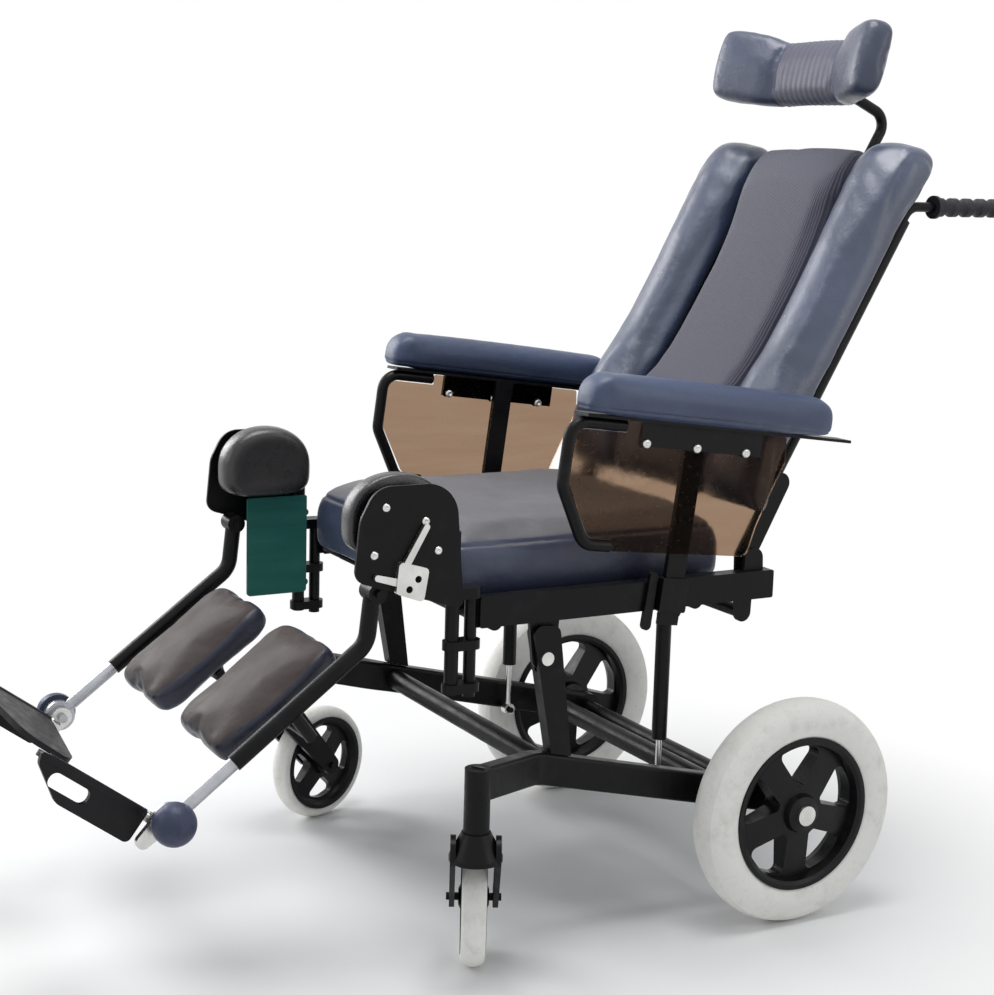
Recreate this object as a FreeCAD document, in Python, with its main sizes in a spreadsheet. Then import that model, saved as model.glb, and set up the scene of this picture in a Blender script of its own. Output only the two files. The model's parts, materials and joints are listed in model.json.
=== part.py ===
import FreeCAD
import Part

import math
import os
from types import SimpleNamespace

from FreeCAD import Placement, Rotation, Vector

# Tilt in space wheelchair, in millimetres.
# X runs to the user's left, Y to the rear and Z up. The floor is Z = 0.
# Side views are drawn from the rear axle; axle_y carries them to the middle of the footprint.

SIZES = {
    "middle_x": 18.56,
    "axle_y": 314.0,
    "running_gap": 0.3,
    "pin_gap": 0.08,
    # rear wheels, 12 1/2 x 2 1/4
    "wheel_x": 307.0,
    "rear_tyre_radius": 158.5,
    "rear_tyre_width": 58.0,
    "rear_bead_radius": 106.0,
    "rear_rim_width": 46.0,
    "rear_hub_radius": 25.0,
    "rear_hub_width": 56.0,
    "rear_axle_radius": 6.0,
    "rear_spokes": 5,
    # casters, 7 inch
    "stem_x": 320.0,
    "stem_y": -507.0,
    "stem_radius": 7.5,
    "caster_trail": 84.0,
    "caster_turn_left": 62.0,
    "caster_turn_right": 20.0,
    "caster_tyre_radius": 89.0,
    "caster_tyre_width": 32.0,
    "caster_bead_radius": 71.0,
    "caster_rim_width": 26.0,
    "caster_hub_radius": 17.0,
    "caster_hub_width": 40.0,
    "caster_axle_radius": 5.0,
    "caster_spokes": 4,
    "fork_leg": 7.0,
    "fork_span": 64.0,
    # base
    "head_radius": 16.5,
    "head_bottom": 209.0,
    "head_top": 291.0,
    "beam_wide": 24.0,
    "beam_tall": 44.0,
    "beam_x": 242.0,
    "beam_rear_z": 158.5,
    "beam_knee_y": -380.0,
    "beam_knee_z": 251.6,
    "beam_front_z": 270.0,
    "beam_bend": 60.0,
    "crossbar_radius": 15.0,
    "front_bar_y": -354.0,
    "front_bar_z": 246.0,
    "rear_bar_y": -75.0,
    "axle_bar_y": -5.0,
    # tilt pivot
    "tower_thick": 20.0,
    "pivot_y": -373.0,
    "pivot_z": 400.0,
    "pivot_pin_radius": 6.0,
    "tower_slot": 6.4,
    "lug_thick": 6.0,
    "lug_radius": 17.0,
    # tilt gas springs
    "spring_x": 211.0,
    "spring_y": -163.0,
    "spring_top_z": 440.0,
    "spring_foot_z": 181.0,
    "spring_radius": 10.5,
    "spring_tube": 177.0,
    "spring_rod_radius": 4.0,
    "spring_eye": 9.0,
    "spring_pin_radius": 4.0,
    # seat
    "rail_x": 245.0,
    "rail_wide": 22.0,
    "rail_bottom": 450.0,
    "rail_top": 489.0,
    "rail_front": -474.0,
    "rail_rear": -15.0,
    "seat_tube_radius": 11.0,
    "seat_front_tube_y": -440.0,
    "seat_rear_tube_y": -128.0,
    "seat_pan_z": 461.0,
    "seat_pan_thick": 4.0,
    "cushion_front": -508.0,
    "cushion_rear": -66.0,
    "cushion_half": 221.0,
    "cushion_bottom": 465.4,
    "cushion_top": 561.0,
    "cushion_crown": 11.0,
    # back, in its own leaning frame
    "back_y": -35.0,
    "back_z": 560.0,
    "back_lean": 30.0,
    "recline_y": -44.0,
    "recline_z": 505.0,
    "recline_pin_radius": 6.0,
    "back_arm": 80.0,
    "back_length": 580.0,
    "back_half": 250.0,
    "back_centre_half": 118.0,
    "shell_thick": 6.0,
    "shell_half": 220.0,
    "cane_x": 205.0,
    "cane_radius": 11.0,
    "cane_top": 478.0,
    "handle_radius": 7.0,
    "handle_bend": 26.0,
    "grip_radius": 13.5,
    "grip_length": 122.0,
    "grip_end": 395.0,
    # recline gas spring
    "lock_front_y": -330.0,
    "lock_z": 425.0,
    "lock_tube": 168.0,
    "lock_radius": 11.0,
    "lock_rod_radius": 5.0,
    "lock_bar_radius": 9.0,
    "lock_eye_gap": 3.0,
    # head support
    "head_y": 236.0,
    "head_z": 1176.0,
    "head_lean": 14.0,
    "head_tall": 114.0,
    "head_drop": 6.0,
    "head_deep": 46.0,
    "head_centre_half": 74.0,
    "head_wing": 130.0,
    "head_wing_turn": 23.0,
    "head_stem_radius": 8.0,
    "head_stem_back": 44.0,
    "head_ball": 13.0,
    # arm supports, in their own sloping frame
    "arm_y": -162.0,
    "arm_z": 673.5,
    "arm_slope": 7.27,
    "arm_pad_x": 281.0,
    "arm_pad_wide": 58.0,
    "arm_pad_front": -195.0,
    "arm_pad_rear": 197.0,
    "arm_pad_bottom": 26.0,
    "arm_pad_tall": 52.0,
    "arm_plate_x": 273.6,
    "arm_plate_thick": 6.0,
    "arm_panel_thick": 3.0,
    "arm_post_wide": 30.0,
    "arm_post_thick": 8.0,
    "arm_post_bottom": -246.0,
    "arm_loop_x": 272.6,
    "arm_loop_radius": 8.0,
    # leg supports
    "swing_x": 246.0,
    "swing_y": -483.0,
    "swing_radius": 8.0,
    "swing_bottom": 361.0,
    "swing_top": 497.0,
    "hanger_y": -509.0,
    "hanger_radius": 9.0,
    "hanger_bottom": 366.0,
    "hanger_top": 576.0,
    "knee_y": -615.0,
    "knee_z": 507.0,
    "knee_plate_x": 254.0,
    "knee_plate_thick": 4.0,
    "knee_pin_radius": 5.0,
    "knee_pad_x": 229.0,
    "leg_x": 236.0,
    "leg_slope": 37.0,
    "leg_drop": 48.6,
    "leg_radius": 11.0,
    "leg_end": 262.0,
    "foot_tube_radius": 8.5,
    "ankle": 361.5,
    "calf_near": 70.0,
    "calf_long": 200.0,
    "calf_thick": 48.0,
    "calf_half": 84.0,
    "calf_x": 117.0,
    "foot_pitch": 36.5,
    "foot_roll": 7.0,
    "foot_hinge_x": 206.0,
    "foot_hinge_z": -12.0,
    "foot_heel": -19.0,
    "foot_thick": 8.0,
    "foot_wall": 45.0,
    "foot_wide": 168.0,
    "foot_deep": 164.0,
}

doc = FreeCAD.newDocument("Wheelchair")
sheet = doc.addObject("Spreadsheet::Sheet", "Sizes")
for row, (name, value) in enumerate(SIZES.items(), start=1):
    sheet.set(f"A{row}", name)
    sheet.set(f"B{row}", str(value))
    sheet.setAlias(f"B{row}", name)
doc.recompute()
s = SimpleNamespace(**{name: float(sheet.get(name)) for name in SIZES})

subparts = []
X_AXIS = Vector(1, 0, 0)
Y_AXIS = Vector(0, 1, 0)
Z_AXIS = Vector(0, 0, 1)


# Document helpers

def bind(item, **expressions):
    for prop, text in expressions.items():
        item.setExpression(prop.replace("__", "."), text)
    return item


def keep(item, label, x="0", y="0", z="0", angle=0.0, axis=X_AXIS):
    """Names a finished sub-part and stands it in the chair, from its middle plane and rear axle."""
    item.Label = label
    item.Placement = Placement(Vector(), Rotation(axis, angle))
    item.setExpression("Placement.Base.x", f"Sizes.middle_x + {x}")
    item.setExpression("Placement.Base.y", f"Sizes.axle_y + {y}")
    item.setExpression("Placement.Base.z", z)
    subparts.append(item)
    return item


def mirrored(item, label):
    """The right hand piece, across the middle plane of the chair."""
    twin = doc.addObject("Part::Mirroring", label)
    twin.Source = item
    twin.Base = Vector()
    twin.setExpression("Base.x", "Sizes.middle_x")
    twin.Normal = X_AXIS
    twin.Label = label
    subparts.append(twin)
    return twin


def pair(item, stem):
    """Makes the right hand twin of a left hand piece whose label is stem_left."""
    return mirrored(item, stem + "_right")


def origin_item(body, role):
    return next(f for f in body.Origin.OriginFeatures if f.Role == role)


def sketch_on(body, role, geometry, offset=0.0):
    """A sketch on one of the body's own planes, moved along the plane's normal."""
    sketch = body.newObject("Sketcher::SketchObject", "outline")
    sketch.AttachmentSupport = [(origin_item(body, role), "")]
    sketch.MapMode = "FlatFace"
    sketch.AttachmentOffset = Placement(Vector(0, 0, offset), Rotation())
    sketch.addGeometry(geometry, False)
    return sketch


def pad(body, role, geometry, start, length, expression=None):
    item = body.newObject("PartDesign::Pad", "pad")
    item.Profile = sketch_on(body, role, geometry, start)
    item.Length = length
    if expression:
        item.setExpression("Length", expression)
    return item


def pocket(body, role, geometry, start, length):
    """Cuts from the plane at start towards the plane's normal."""
    item = body.newObject("PartDesign::Pocket", "pocket")
    item.Profile = sketch_on(body, role, geometry, start)
    item.Length = length
    item.Reversed = True
    return item


def new_body(label):
    return doc.addObject("PartDesign::Body", label)


def feature(label, shape):
    item = doc.addObject("Part::Feature", label)
    item.Shape = shape
    return item


# Outlines

def loop(*points):
    """A closed outline of straight lines."""
    corners = [Vector(a, b, 0) for a, b in points]
    return [Part.LineSegment(p, q) for p, q in zip(corners, corners[1:] + corners[:1])]


def rounded(points, radii):
    """A closed outline whose corners are rounded, each by its own radius."""
    count = len(points)
    corners = [Vector(a, b, 0) for a, b in points]
    edges = []
    ends = []
    for i, corner in enumerate(corners):
        before = (corners[i - 1] - corner).normalize()
        after = (corners[(i + 1) % count] - corner).normalize()
        half = before.getAngle(after) / 2
        reach = radii[i] / math.tan(half)
        middle = (before + after).normalize()
        centre = corner + middle * (radii[i] / math.sin(half))
        ends.append((corner + before * reach, centre - middle * radii[i], corner + after * reach))
    for i, (start, mid, stop) in enumerate(ends):
        edges.append(Part.Arc(start, mid, stop))
        edges.append(Part.LineSegment(stop, ends[(i + 1) % count][0]))
    return edges


def link(first, first_radius, second, second_radius):
    """The outline of a bar with two round ends of different size."""
    a = Vector(*first, 0)
    b = Vector(*second, 0)
    along = b - a
    reach = along.Length
    along.normalize()
    side = Vector(-along.y, along.x, 0)
    lean = (first_radius - second_radius) / reach
    level = math.sqrt(1 - lean * lean)
    left = along * lean + side * level
    right = along * lean - side * level
    return [
        Part.LineSegment(a + left * first_radius, b + left * second_radius),
        Part.Arc(b + left * second_radius, b + along * second_radius, b + right * second_radius),
        Part.LineSegment(b + right * second_radius, a + right * first_radius),
        Part.Arc(a + right * first_radius, a - along * first_radius, a + left * first_radius),
    ]


def disc(centre, radius):
    return [Part.Circle(Vector(*centre, 0), Z_AXIS, radius)]


def slab(outline, offset, thick, upright=False):
    """A flat piece drawn from above, or from the side when it stands upright."""
    face = Part.Face(Part.Wire([curve.toShape() for curve in outline]))
    if upright:
        face.rotate(Vector(), Vector(1, 1, 1), 120)
        face.translate(Vector(offset, 0, 0))
        return face.extrude(Vector(thick, 0, 0))
    face.translate(Vector(0, 0, offset))
    return face.extrude(Vector(0, 0, thick))


# Swept tubes and padded forms

def rounded_path(points, radius):
    """Straight runs joined by tangent arcs."""
    knots = [Vector(*p) for p in points]
    edges = []
    start = knots[0]
    for before, corner, after in zip(knots, knots[1:], knots[2:]):
        inward = (before - corner).normalize()
        outward = (after - corner).normalize()
        half = inward.getAngle(outward) / 2
        reach = radius / math.tan(half)
        middle = (inward + outward).normalize()
        centre = corner + middle * (radius / math.sin(half))
        edges.append(Part.LineSegment(start, corner + inward * reach).toShape())
        arc = Part.Arc(corner + inward * reach, centre - middle * radius, corner + outward * reach)
        edges.append(arc.toShape())
        start = corner + outward * reach
    edges.append(Part.LineSegment(start, knots[-1]).toShape())
    return Part.Wire(edges)


def tube(points, bend, radius):
    """A round bar along a path with bends of one radius."""
    path = rounded_path(points, bend)
    start = Vector(*points[0])
    heading = Vector(*points[1]) - start
    ring = Part.Wire(Part.Circle(start, heading, radius).toShape())
    return path.makePipeShell([ring], True, False)


def rod(start, end, radius):
    start = Vector(*start)
    along = Vector(*end) - start
    return Part.makeCylinder(radius, along.Length, start, along)


def fused(shapes):
    whole = shapes[0]
    for other in shapes[1:]:
        whole = whole.fuse(other)
    return whole.removeSplitter()


def cushion_section(place, half, low, high, edge, crown):
    """A padded section: flat below, rounded at the sides and crowned on top.

    place turns a point across and above the section into a point of the chair.
    """
    slant = edge * (1 - math.sqrt(0.5))
    under = min(edge, (high - low) / 3)
    tuck = under * (1 - math.sqrt(0.5))

    def arc(a, b, c):
        return Part.Arc(place(*a), place(*b), place(*c)).toShape()

    def line(a, b):
        return Part.LineSegment(place(*a), place(*b)).toShape()

    return Part.Wire([
        line((-half + under, low), (half - under, low)),
        arc((half - under, low), (half - tuck, low + tuck), (half, low + under)),
        line((half, low + under), (half, high - edge)),
        arc((half, high - edge), (half - slant, high - slant), (half - edge, high)),
        arc((half - edge, high), (0, high + crown), (-half + edge, high)),
        arc((-half + edge, high), (-half + slant, high - slant), (-half, high - edge)),
        line((-half, high - edge), (-half, low + under)),
        arc((-half, low + under), (-half + tuck, low + tuck), (-half + under, low)),
    ])


def rounded_ends(reach, narrow, thin):
    """Stations along a padded form: how far along, how wide and how thick, both ends rounded."""
    stations = []
    for turn in (0, 14, 30, 50, 90):
        swell = math.sin(math.radians(turn))
        along = reach * (1 - math.cos(math.radians(turn)))
        stations.append((along, narrow + (1 - narrow) * swell, thin + (1 - thin) * swell))
    return stations + [(1 - a, w, t) for a, w, t in reversed(stations)]


def tyre_side(outer, width, bead, radius):
    """Half the tyre's width at a radius, on the round of its side wall."""
    low = width * 0.34
    high = outer - width * 0.09
    chord = (high - bead) / 2
    swell = width / 2 - low
    round_radius = (chord * chord + swell * swell) / (2 * swell)
    rise = radius - (high + bead) / 2
    return width / 2 - round_radius + math.sqrt(round_radius ** 2 - rise ** 2)


# Wheels: a solid tyre on a moulded rim with open windows between its spokes

def tyre_body(label, outer, width, bead):
    body = new_body(label)
    shoulder = Vector(width * 0.34, outer - width * 0.09, 0)
    side = Vector(width / 2, (shoulder.y + bead) / 2, 0)
    inner = Vector(width * 0.34, bead, 0)
    far_shoulder, far_side, far_inner = (Vector(-p.x, p.y, 0) for p in (shoulder, side, inner))
    outline = [
        Part.LineSegment(far_inner, inner),
        Part.Arc(inner, side, shoulder),
        Part.Arc(shoulder, Vector(0, outer, 0), far_shoulder),
        Part.Arc(far_shoulder, far_side, far_inner),
    ]
    turn = body.newObject("PartDesign::Revolution", "section")
    turn.Profile = sketch_on(body, "XZ_Plane", outline)
    turn.ReferenceAxis = (turn.Profile[0], ["H_Axis"])
    return body


def window(inner, outer, half_turn, corner):
    """One opening between two spokes, a wedge with rounded corners."""
    def at(radius, turn):
        return radius * math.sin(turn), radius * math.cos(turn)
    near = half_turn * 0.30
    points = [at(inner, -near), at(outer, -half_turn), at(outer * 1.03, 0), at(outer, half_turn), at(inner, near)]
    return rounded(points, [corner * 0.5, corner, outer * 0.5, corner, corner * 0.5])


def rim_body(label, tyre, width, hub_radius, hub_width, axle_radius, spokes):
    """Ring, dished web and hub turned in one, then windows cut round it.

    tyre gives the outer radius, width and bead radius of the tyre it carries.
    """
    body = new_body(label)
    outer, tyre_width, bead = tyre
    seat = bead - 0.25
    flange = bead + 2.4
    half = width / 2
    catch = tyre_side(outer, tyre_width, bead, flange) + 0.3
    lip = max(catch + 2.2, half)
    ring = seat - 8.5
    bore = axle_radius + s.pin_gap
    hub = hub_width / 2
    outline = loop(
        (-hub, bore), (hub, bore), (hub, hub_radius * 0.62), (hub - 3, hub_radius),
        (half * 0.72, hub_radius * 1.12), (half * 0.42, ring - 3), (half - 2, ring),
        (lip, ring + 5), (lip, flange), (catch, flange), (catch - 1.5, seat),
        (-catch + 1.5, seat), (-catch, flange), (-lip, flange), (-lip, ring + 5), (-half + 2, ring), (-half * 0.42, ring - 3),
        (-half * 0.72, hub_radius * 1.12), (-hub + 3, hub_radius), (-hub, hub_radius * 0.62),
    )
    turn = body.newObject("PartDesign::Revolution", "section")
    turn.Profile = sketch_on(body, "XZ_Plane", outline)
    turn.ReferenceAxis = (turn.Profile[0], ["H_Axis"])
    doc.recompute()
    full = body.Shape.Volume
    cut = body.newObject("PartDesign::Pocket", "window")
    half_turn = math.pi / spokes * 0.66
    cut.Profile = sketch_on(body, "YZ_Plane", window(hub_radius * 1.5, ring - 4, half_turn, ring * 0.1))
    cut.Type = "ThroughAll"
    cut.Midplane = True
    doc.recompute()
    around = body.newObject("PartDesign::PolarPattern", "windows")
    around.Originals = [cut]
    around.Axis = (origin_item(body, "X_Axis"), [""])
    around.Angle = 360
    around.Occurrences = int(spokes)
    body.Tip = around
    doc.recompute()
    if not full * 0.5 < body.Shape.Volume < full * 0.97:
        raise RuntimeError(f"the windows of {label} cut nothing or too much")
    return body


def rear_wheels():
    for side, sign in (("left", ""), ("right", "-")):
        place = {"x": f"{sign}Sizes.wheel_x", "z": "Sizes.rear_tyre_radius"}
        tyre = tyre_body(f"rear_tyre_{side}", s.rear_tyre_radius, s.rear_tyre_width, s.rear_bead_radius)
        keep(tyre, f"rear_tyre_{side}", **place)
        size = (s.rear_tyre_radius, s.rear_tyre_width, s.rear_bead_radius)
        rim = rim_body(f"rear_rim_{side}", size, s.rear_rim_width, s.rear_hub_radius, s.rear_hub_width,
                       s.rear_axle_radius, s.rear_spokes)
        keep(rim, f"rear_rim_{side}", **place)


def caster_place(side, sign):
    """Where a caster wheel's centre lies, behind its stem by the trail and swung with it."""
    turn = f"Sizes.caster_turn_{side}"
    return {
        "x": f"{sign}Sizes.stem_x - Sizes.caster_trail * sin({turn} * 1 deg)",
        "y": f"Sizes.stem_y + Sizes.caster_trail * cos({turn} * 1 deg)",
        "z": "Sizes.caster_tyre_radius",
        "axis": Z_AXIS,
        "angle": getattr(s, f"caster_turn_{side}"),
    }


def caster_wheels():
    for side, sign in (("left", ""), ("right", "-")):
        place = caster_place(side, sign)
        tyre = tyre_body(f"caster_tyre_{side}", s.caster_tyre_radius, s.caster_tyre_width,
                         s.caster_bead_radius)
        keep(tyre, f"caster_tyre_{side}", **place)
        size = (s.caster_tyre_radius, s.caster_tyre_width, s.caster_bead_radius)
        rim = rim_body(f"caster_rim_{side}", size, s.caster_rim_width, s.caster_hub_radius, s.caster_hub_width,
                       s.caster_axle_radius, s.caster_spokes)
        keep(rim, f"caster_rim_{side}", **place)


def caster_forks():
    """Stem, conical crown, two swept legs and the wheel's axle bolt."""
    outer = s.fork_span / 2
    inner = outer - s.fork_leg
    crown_low = s.head_bottom - 31
    for side, sign in (("left", ""), ("right", "-")):
        crown = Part.makeCone(outer + 2, s.head_radius + 2, s.head_bottom - s.running_gap - crown_low,
                              Vector(0, 0, crown_low))
        skirt = Part.makeCylinder(outer + 2, 6, Vector(0, 0, crown_low - 6))
        stem = rod((0, 0, crown_low), (0, 0, s.head_top - 6), s.stem_radius)
        legs = []
        for start in (-outer, inner):
            flat = link((0, crown_low + 4), 21, (s.caster_trail, s.caster_tyre_radius), 14)
            face = Part.Face(Part.Wire([g.toShape() for g in flat]))
            face.rotate(Vector(), Vector(1, 1, 1), 120)
            face.translate(Vector(start, 0, 0))
            legs.append(face.extrude(Vector(s.fork_leg, 0, 0)))
        axle = rod((-outer - 4, s.caster_trail, s.caster_tyre_radius),
                   (outer + 4, s.caster_trail, s.caster_tyre_radius), s.caster_axle_radius)
        well = Part.makeBox(2 * inner, 200, 200, Vector(-inner, -100, crown_low - 214))
        body = fused([crown, skirt.cut(well), stem] + legs + [axle])
        fork = feature(f"caster_fork_{side}", body)
        keep(fork, f"caster_fork_{side}", x=f"{sign}Sizes.stem_x", y="Sizes.stem_y",
             axis=Z_AXIS, angle=getattr(s, f"caster_turn_{side}"))


# Base

def beam_slope():
    return (s.beam_knee_z - s.beam_rear_z) / s.beam_knee_y


def beam_top(y):
    """Height of the beam's upper face on its straight run."""
    return s.beam_rear_z + beam_slope() * y + s.beam_tall / 2 * math.hypot(1, beam_slope())


def base_beams():
    """An oblong tube from the rear axle up to the tilt tower, then out to the caster head."""
    head = Part.makeCylinder(s.head_radius, s.head_top - s.head_bottom, Vector(s.stem_x, s.stem_y, s.head_bottom))
    bore = Part.makeCylinder(s.stem_radius + s.pin_gap, s.head_top - s.head_bottom - 4,
                             Vector(s.stem_x, s.stem_y, s.head_bottom))
    points = [(s.beam_x, 0, s.beam_rear_z), (s.beam_x, s.beam_knee_y, s.beam_knee_z),
              (s.stem_x, s.stem_y, s.beam_front_z)]
    path = rounded_path(points, s.beam_bend)
    half_wide = s.beam_wide / 2
    half_tall = s.beam_tall / 2
    corners = [(-half_wide, -half_tall), (half_wide, -half_tall), (half_wide, half_tall), (-half_wide, half_tall)]
    flat = Part.Wire([g.toShape() for g in rounded(corners, [5, 5, 5, 5])])
    flat.rotate(Vector(), X_AXIS, 90)
    flat.translate(Vector(*points[0]))
    sweep = Part.BRepOffsetAPI.MakePipeShell(path)
    sweep.setBiNormalMode(Z_AXIS)
    sweep.add(flat)
    sweep.build()
    sweep.makeSolid()
    boss = rod((s.beam_x - half_wide, 0, s.beam_rear_z), (s.beam_x + half_wide, 0, s.beam_rear_z), half_tall)
    hole = rod((s.beam_x - s.beam_wide, 0, s.rear_tyre_radius), (s.beam_x + s.beam_wide, 0, s.rear_tyre_radius),
               s.rear_axle_radius + s.pin_gap)
    pin = rod((s.beam_x, s.spring_y, s.spring_foot_z), (s.spring_x - 12, s.spring_y, s.spring_foot_z),
              s.spring_pin_radius)
    shape = fused([sweep.shape(), boss, head, pin]).cut(bore).cut(hole)
    beam = feature("base_beam_left", shape)
    keep(beam, "base_beam_left")
    pair(beam, "base_beam")


def crossbars():
    reach = s.beam_x - s.beam_wide / 2
    front = doc.addObject("Part::Cylinder", "front_crossbar")
    bind(front, Radius="Sizes.crossbar_radius", Height="2 * (Sizes.beam_x - Sizes.beam_wide / 2)")
    keep(front, "front_crossbar", x="-(Sizes.beam_x - Sizes.beam_wide / 2)", y="Sizes.front_bar_y",
         z="Sizes.front_bar_z", axis=Y_AXIS, angle=90)
    bars = []
    for y, radius in ((s.rear_bar_y, s.crossbar_radius), (s.axle_bar_y, s.crossbar_radius - 2)):
        z = s.beam_rear_z + beam_slope() * y
        bars.append(rod((-reach, y, z), (reach, y, z), radius))
    keep(feature("rear_crossbars", Part.makeCompound(bars)), "rear_crossbars")


def towers():
    """A leaning post whose forked top takes the lug of the seat frame."""
    body = new_body("pivot_tower_left")
    inner = s.beam_x - s.tower_thick / 2
    foot = [(y, beam_top(y) + s.running_gap) for y in (s.pivot_y + 12, s.pivot_y + 43)]
    outline = rounded(
        foot + [(s.pivot_y + 20, s.rail_bottom - 9), (s.pivot_y - 21, s.rail_bottom - 5)],
        [1, 1, 12, 12])
    pad(body, "YZ_Plane", outline, inner, s.tower_thick, "Sizes.tower_thick")
    slot = loop((s.pivot_y - 60, s.pivot_z - s.lug_radius - 2), (s.pivot_y + 60, s.pivot_z - s.lug_radius - 2),
                (s.pivot_y + 60, s.rail_top), (s.pivot_y - 60, s.rail_top))
    pocket(body, "YZ_Plane", slot, s.beam_x - s.tower_slot / 2, s.tower_slot)
    pocket(body, "YZ_Plane", disc((s.pivot_y, s.pivot_z), s.pivot_pin_radius + s.pin_gap), inner - 1,
           s.tower_thick + 2)
    keep(body, "pivot_tower_left")
    pair(body, "pivot_tower")


def bolts():
    """The two rear axle bolts, and the two pins that the seat tilts on."""
    axles = []
    pins = []
    for sign in (-1, 1):
        inside = s.beam_x - s.beam_wide / 2
        outside = s.wheel_x + s.rear_hub_width / 2
        z = s.rear_tyre_radius
        shank = rod((sign * (inside + 2), 0, z), (sign * (outside + 1), 0, z), s.rear_axle_radius)
        cap = rod((sign * (outside + 0.3), 0, z), (sign * (outside + 5), 0, z), 14)
        collar = rod((sign * (s.beam_x + s.beam_wide / 2 + 0.2), 0, z), (sign * (s.wheel_x - s.rear_hub_width / 2 - 0.3), 0, z),
                     9)
        axles.append(fused([shank, cap, collar]))
        near = s.beam_x - s.tower_thick / 2
        far = s.beam_x + s.tower_thick / 2
        at = (s.pivot_y, s.pivot_z)
        pin = rod((sign * (near - 4), *at), (sign * (far + 4), *at), s.pivot_pin_radius)
        head = rod((sign * far, *at), (sign * (far + 5), *at), 9)
        tail = rod((sign * (near - 6), *at), (sign * near, *at), 9)
        pins.append(fused([pin, head, tail]))
    keep(feature("rear_axles", Part.makeCompound(axles)), "rear_axles")
    keep(feature("tilt_pins", Part.makeCompound(pins)), "tilt_pins")


# Tilt gas springs: the tube hangs from the seat rail, the rod stands on the base

def spring_frame():
    """Drop from the upper eye to the lower pin."""
    return s.spring_top_z - s.spring_foot_z


def tilt_springs():
    eye_hole = s.spring_pin_radius + s.pin_gap
    at = (s.spring_x, s.spring_y)
    top = s.spring_top_z
    tube_low = top - s.spring_eye - s.spring_tube
    barrel = Part.makeCylinder(s.spring_radius, s.spring_tube, Vector(*at, tube_low))
    eye = rod((s.spring_x - 7, s.spring_y, top), (s.spring_x + 7, s.spring_y, top), s.spring_eye)
    hollow = Part.makeCylinder(s.spring_rod_radius + s.pin_gap, s.spring_tube - 8, Vector(*at, tube_low))
    hole = rod((s.spring_x - 12, s.spring_y, top), (s.spring_x + 12, s.spring_y, top), eye_hole)
    cylinder = feature("tilt_cylinder_left", fused([barrel, eye]).cut(hollow).cut(hole))
    keep(cylinder, "tilt_cylinder_left")
    pair(cylinder, "tilt_cylinder")

    foot = s.spring_foot_z
    rod_top = tube_low + 70
    shaft = Part.makeCylinder(s.spring_rod_radius, rod_top - foot, Vector(*at, foot))
    lower_eye = rod((s.spring_x - 6, s.spring_y, foot), (s.spring_x + 6, s.spring_y, foot), s.spring_eye)
    loose = rod((s.spring_x - 12, s.spring_y, foot), (s.spring_x + 12, s.spring_y, foot), s.spring_pin_radius + 1.8)
    spindle = feature("tilt_rod_left", fused([shaft, lower_eye]).cut(loose))
    keep(spindle, "tilt_rod_left")
    pair(spindle, "tilt_rod")


# Seat frame

def seat_rails():
    """A rail with its tilt lug, spring lug, recline lug, arm sleeve and swing pin."""
    body = new_body("seat_rail_left")
    inner = s.rail_x - s.rail_wide / 2
    outer = s.rail_x + s.rail_wide / 2
    side = rounded([(s.rail_front, s.rail_bottom), (s.rail_rear, s.rail_bottom), (s.rail_rear, s.rail_top),
                    (s.rail_front, s.rail_top)], [3, 3, 3, 3])
    pad(body, "YZ_Plane", side, inner, s.rail_wide, "Sizes.rail_wide")
    lug = link((s.pivot_y, s.pivot_z), s.lug_radius, (s.pivot_y, s.rail_bottom + 8), s.lug_radius + 6)
    pad(body, "YZ_Plane", lug, s.beam_x - s.lug_thick / 2, s.lug_thick, "Sizes.lug_thick")
    pocket(body, "YZ_Plane", disc((s.pivot_y, s.pivot_z), s.pivot_pin_radius + s.pin_gap),
           s.beam_x - s.lug_thick, s.lug_thick * 2)
    hanger = link((s.spring_y, s.spring_top_z), 12, (s.spring_y, s.rail_top - 16), 14)
    pad(body, "YZ_Plane", hanger, inner - 5, 5)
    pad(body, "YZ_Plane", disc((s.spring_y, s.spring_top_z), s.spring_pin_radius), s.spring_x - 11,
        inner - s.spring_x + 12)
    ear = link((s.recline_y, s.recline_z), 15, (s.recline_y, s.rail_top - 18), 17)
    pad(body, "YZ_Plane", ear, s.rail_x - 3, 6)
    pad(body, "YZ_Plane", disc((s.recline_y, s.recline_z), s.recline_pin_radius), s.rail_x - 26, 26)
    arm_sleeve(body, outer)
    pad(body, "YZ_Plane", link((s.spring_y - 54, s.rail_top + 8), 6, (s.spring_y - 63, s.rail_bottom - 18), 7), outer, 6)
    swing_pin(body)
    keep(body, "seat_rail_left")
    pair(body, "seat_rail")


def arm_point(along, up):
    """A point of the sloping arm frame, in the side view from the rear axle."""
    turn = math.radians(s.arm_slope)
    return (s.arm_y + along * math.cos(turn) + up * math.sin(turn),
            s.arm_z - along * math.sin(turn) + up * math.cos(turn))


def arm_sleeve(body, face):
    """The clamp on the rail that the arm post drops into."""
    gap = s.running_gap
    half = s.arm_post_wide / 2
    low = -228
    high = -182
    wall = 6
    outline = rounded([arm_point(-half - wall, low), arm_point(half + wall, low), arm_point(half + wall, high),
                       arm_point(-half - wall, high)], [3, 3, 3, 3])
    depth = s.arm_post_thick + 2 * gap + 4
    pad(body, "YZ_Plane", outline, face, depth)
    slot = loop(arm_point(-half - gap, low - 5), arm_point(half + gap, low - 5), arm_point(half + gap, high + 5),
                arm_point(-half - gap, high + 5))
    pocket(body, "YZ_Plane", slot, face, s.arm_post_thick + 2 * gap)


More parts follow.
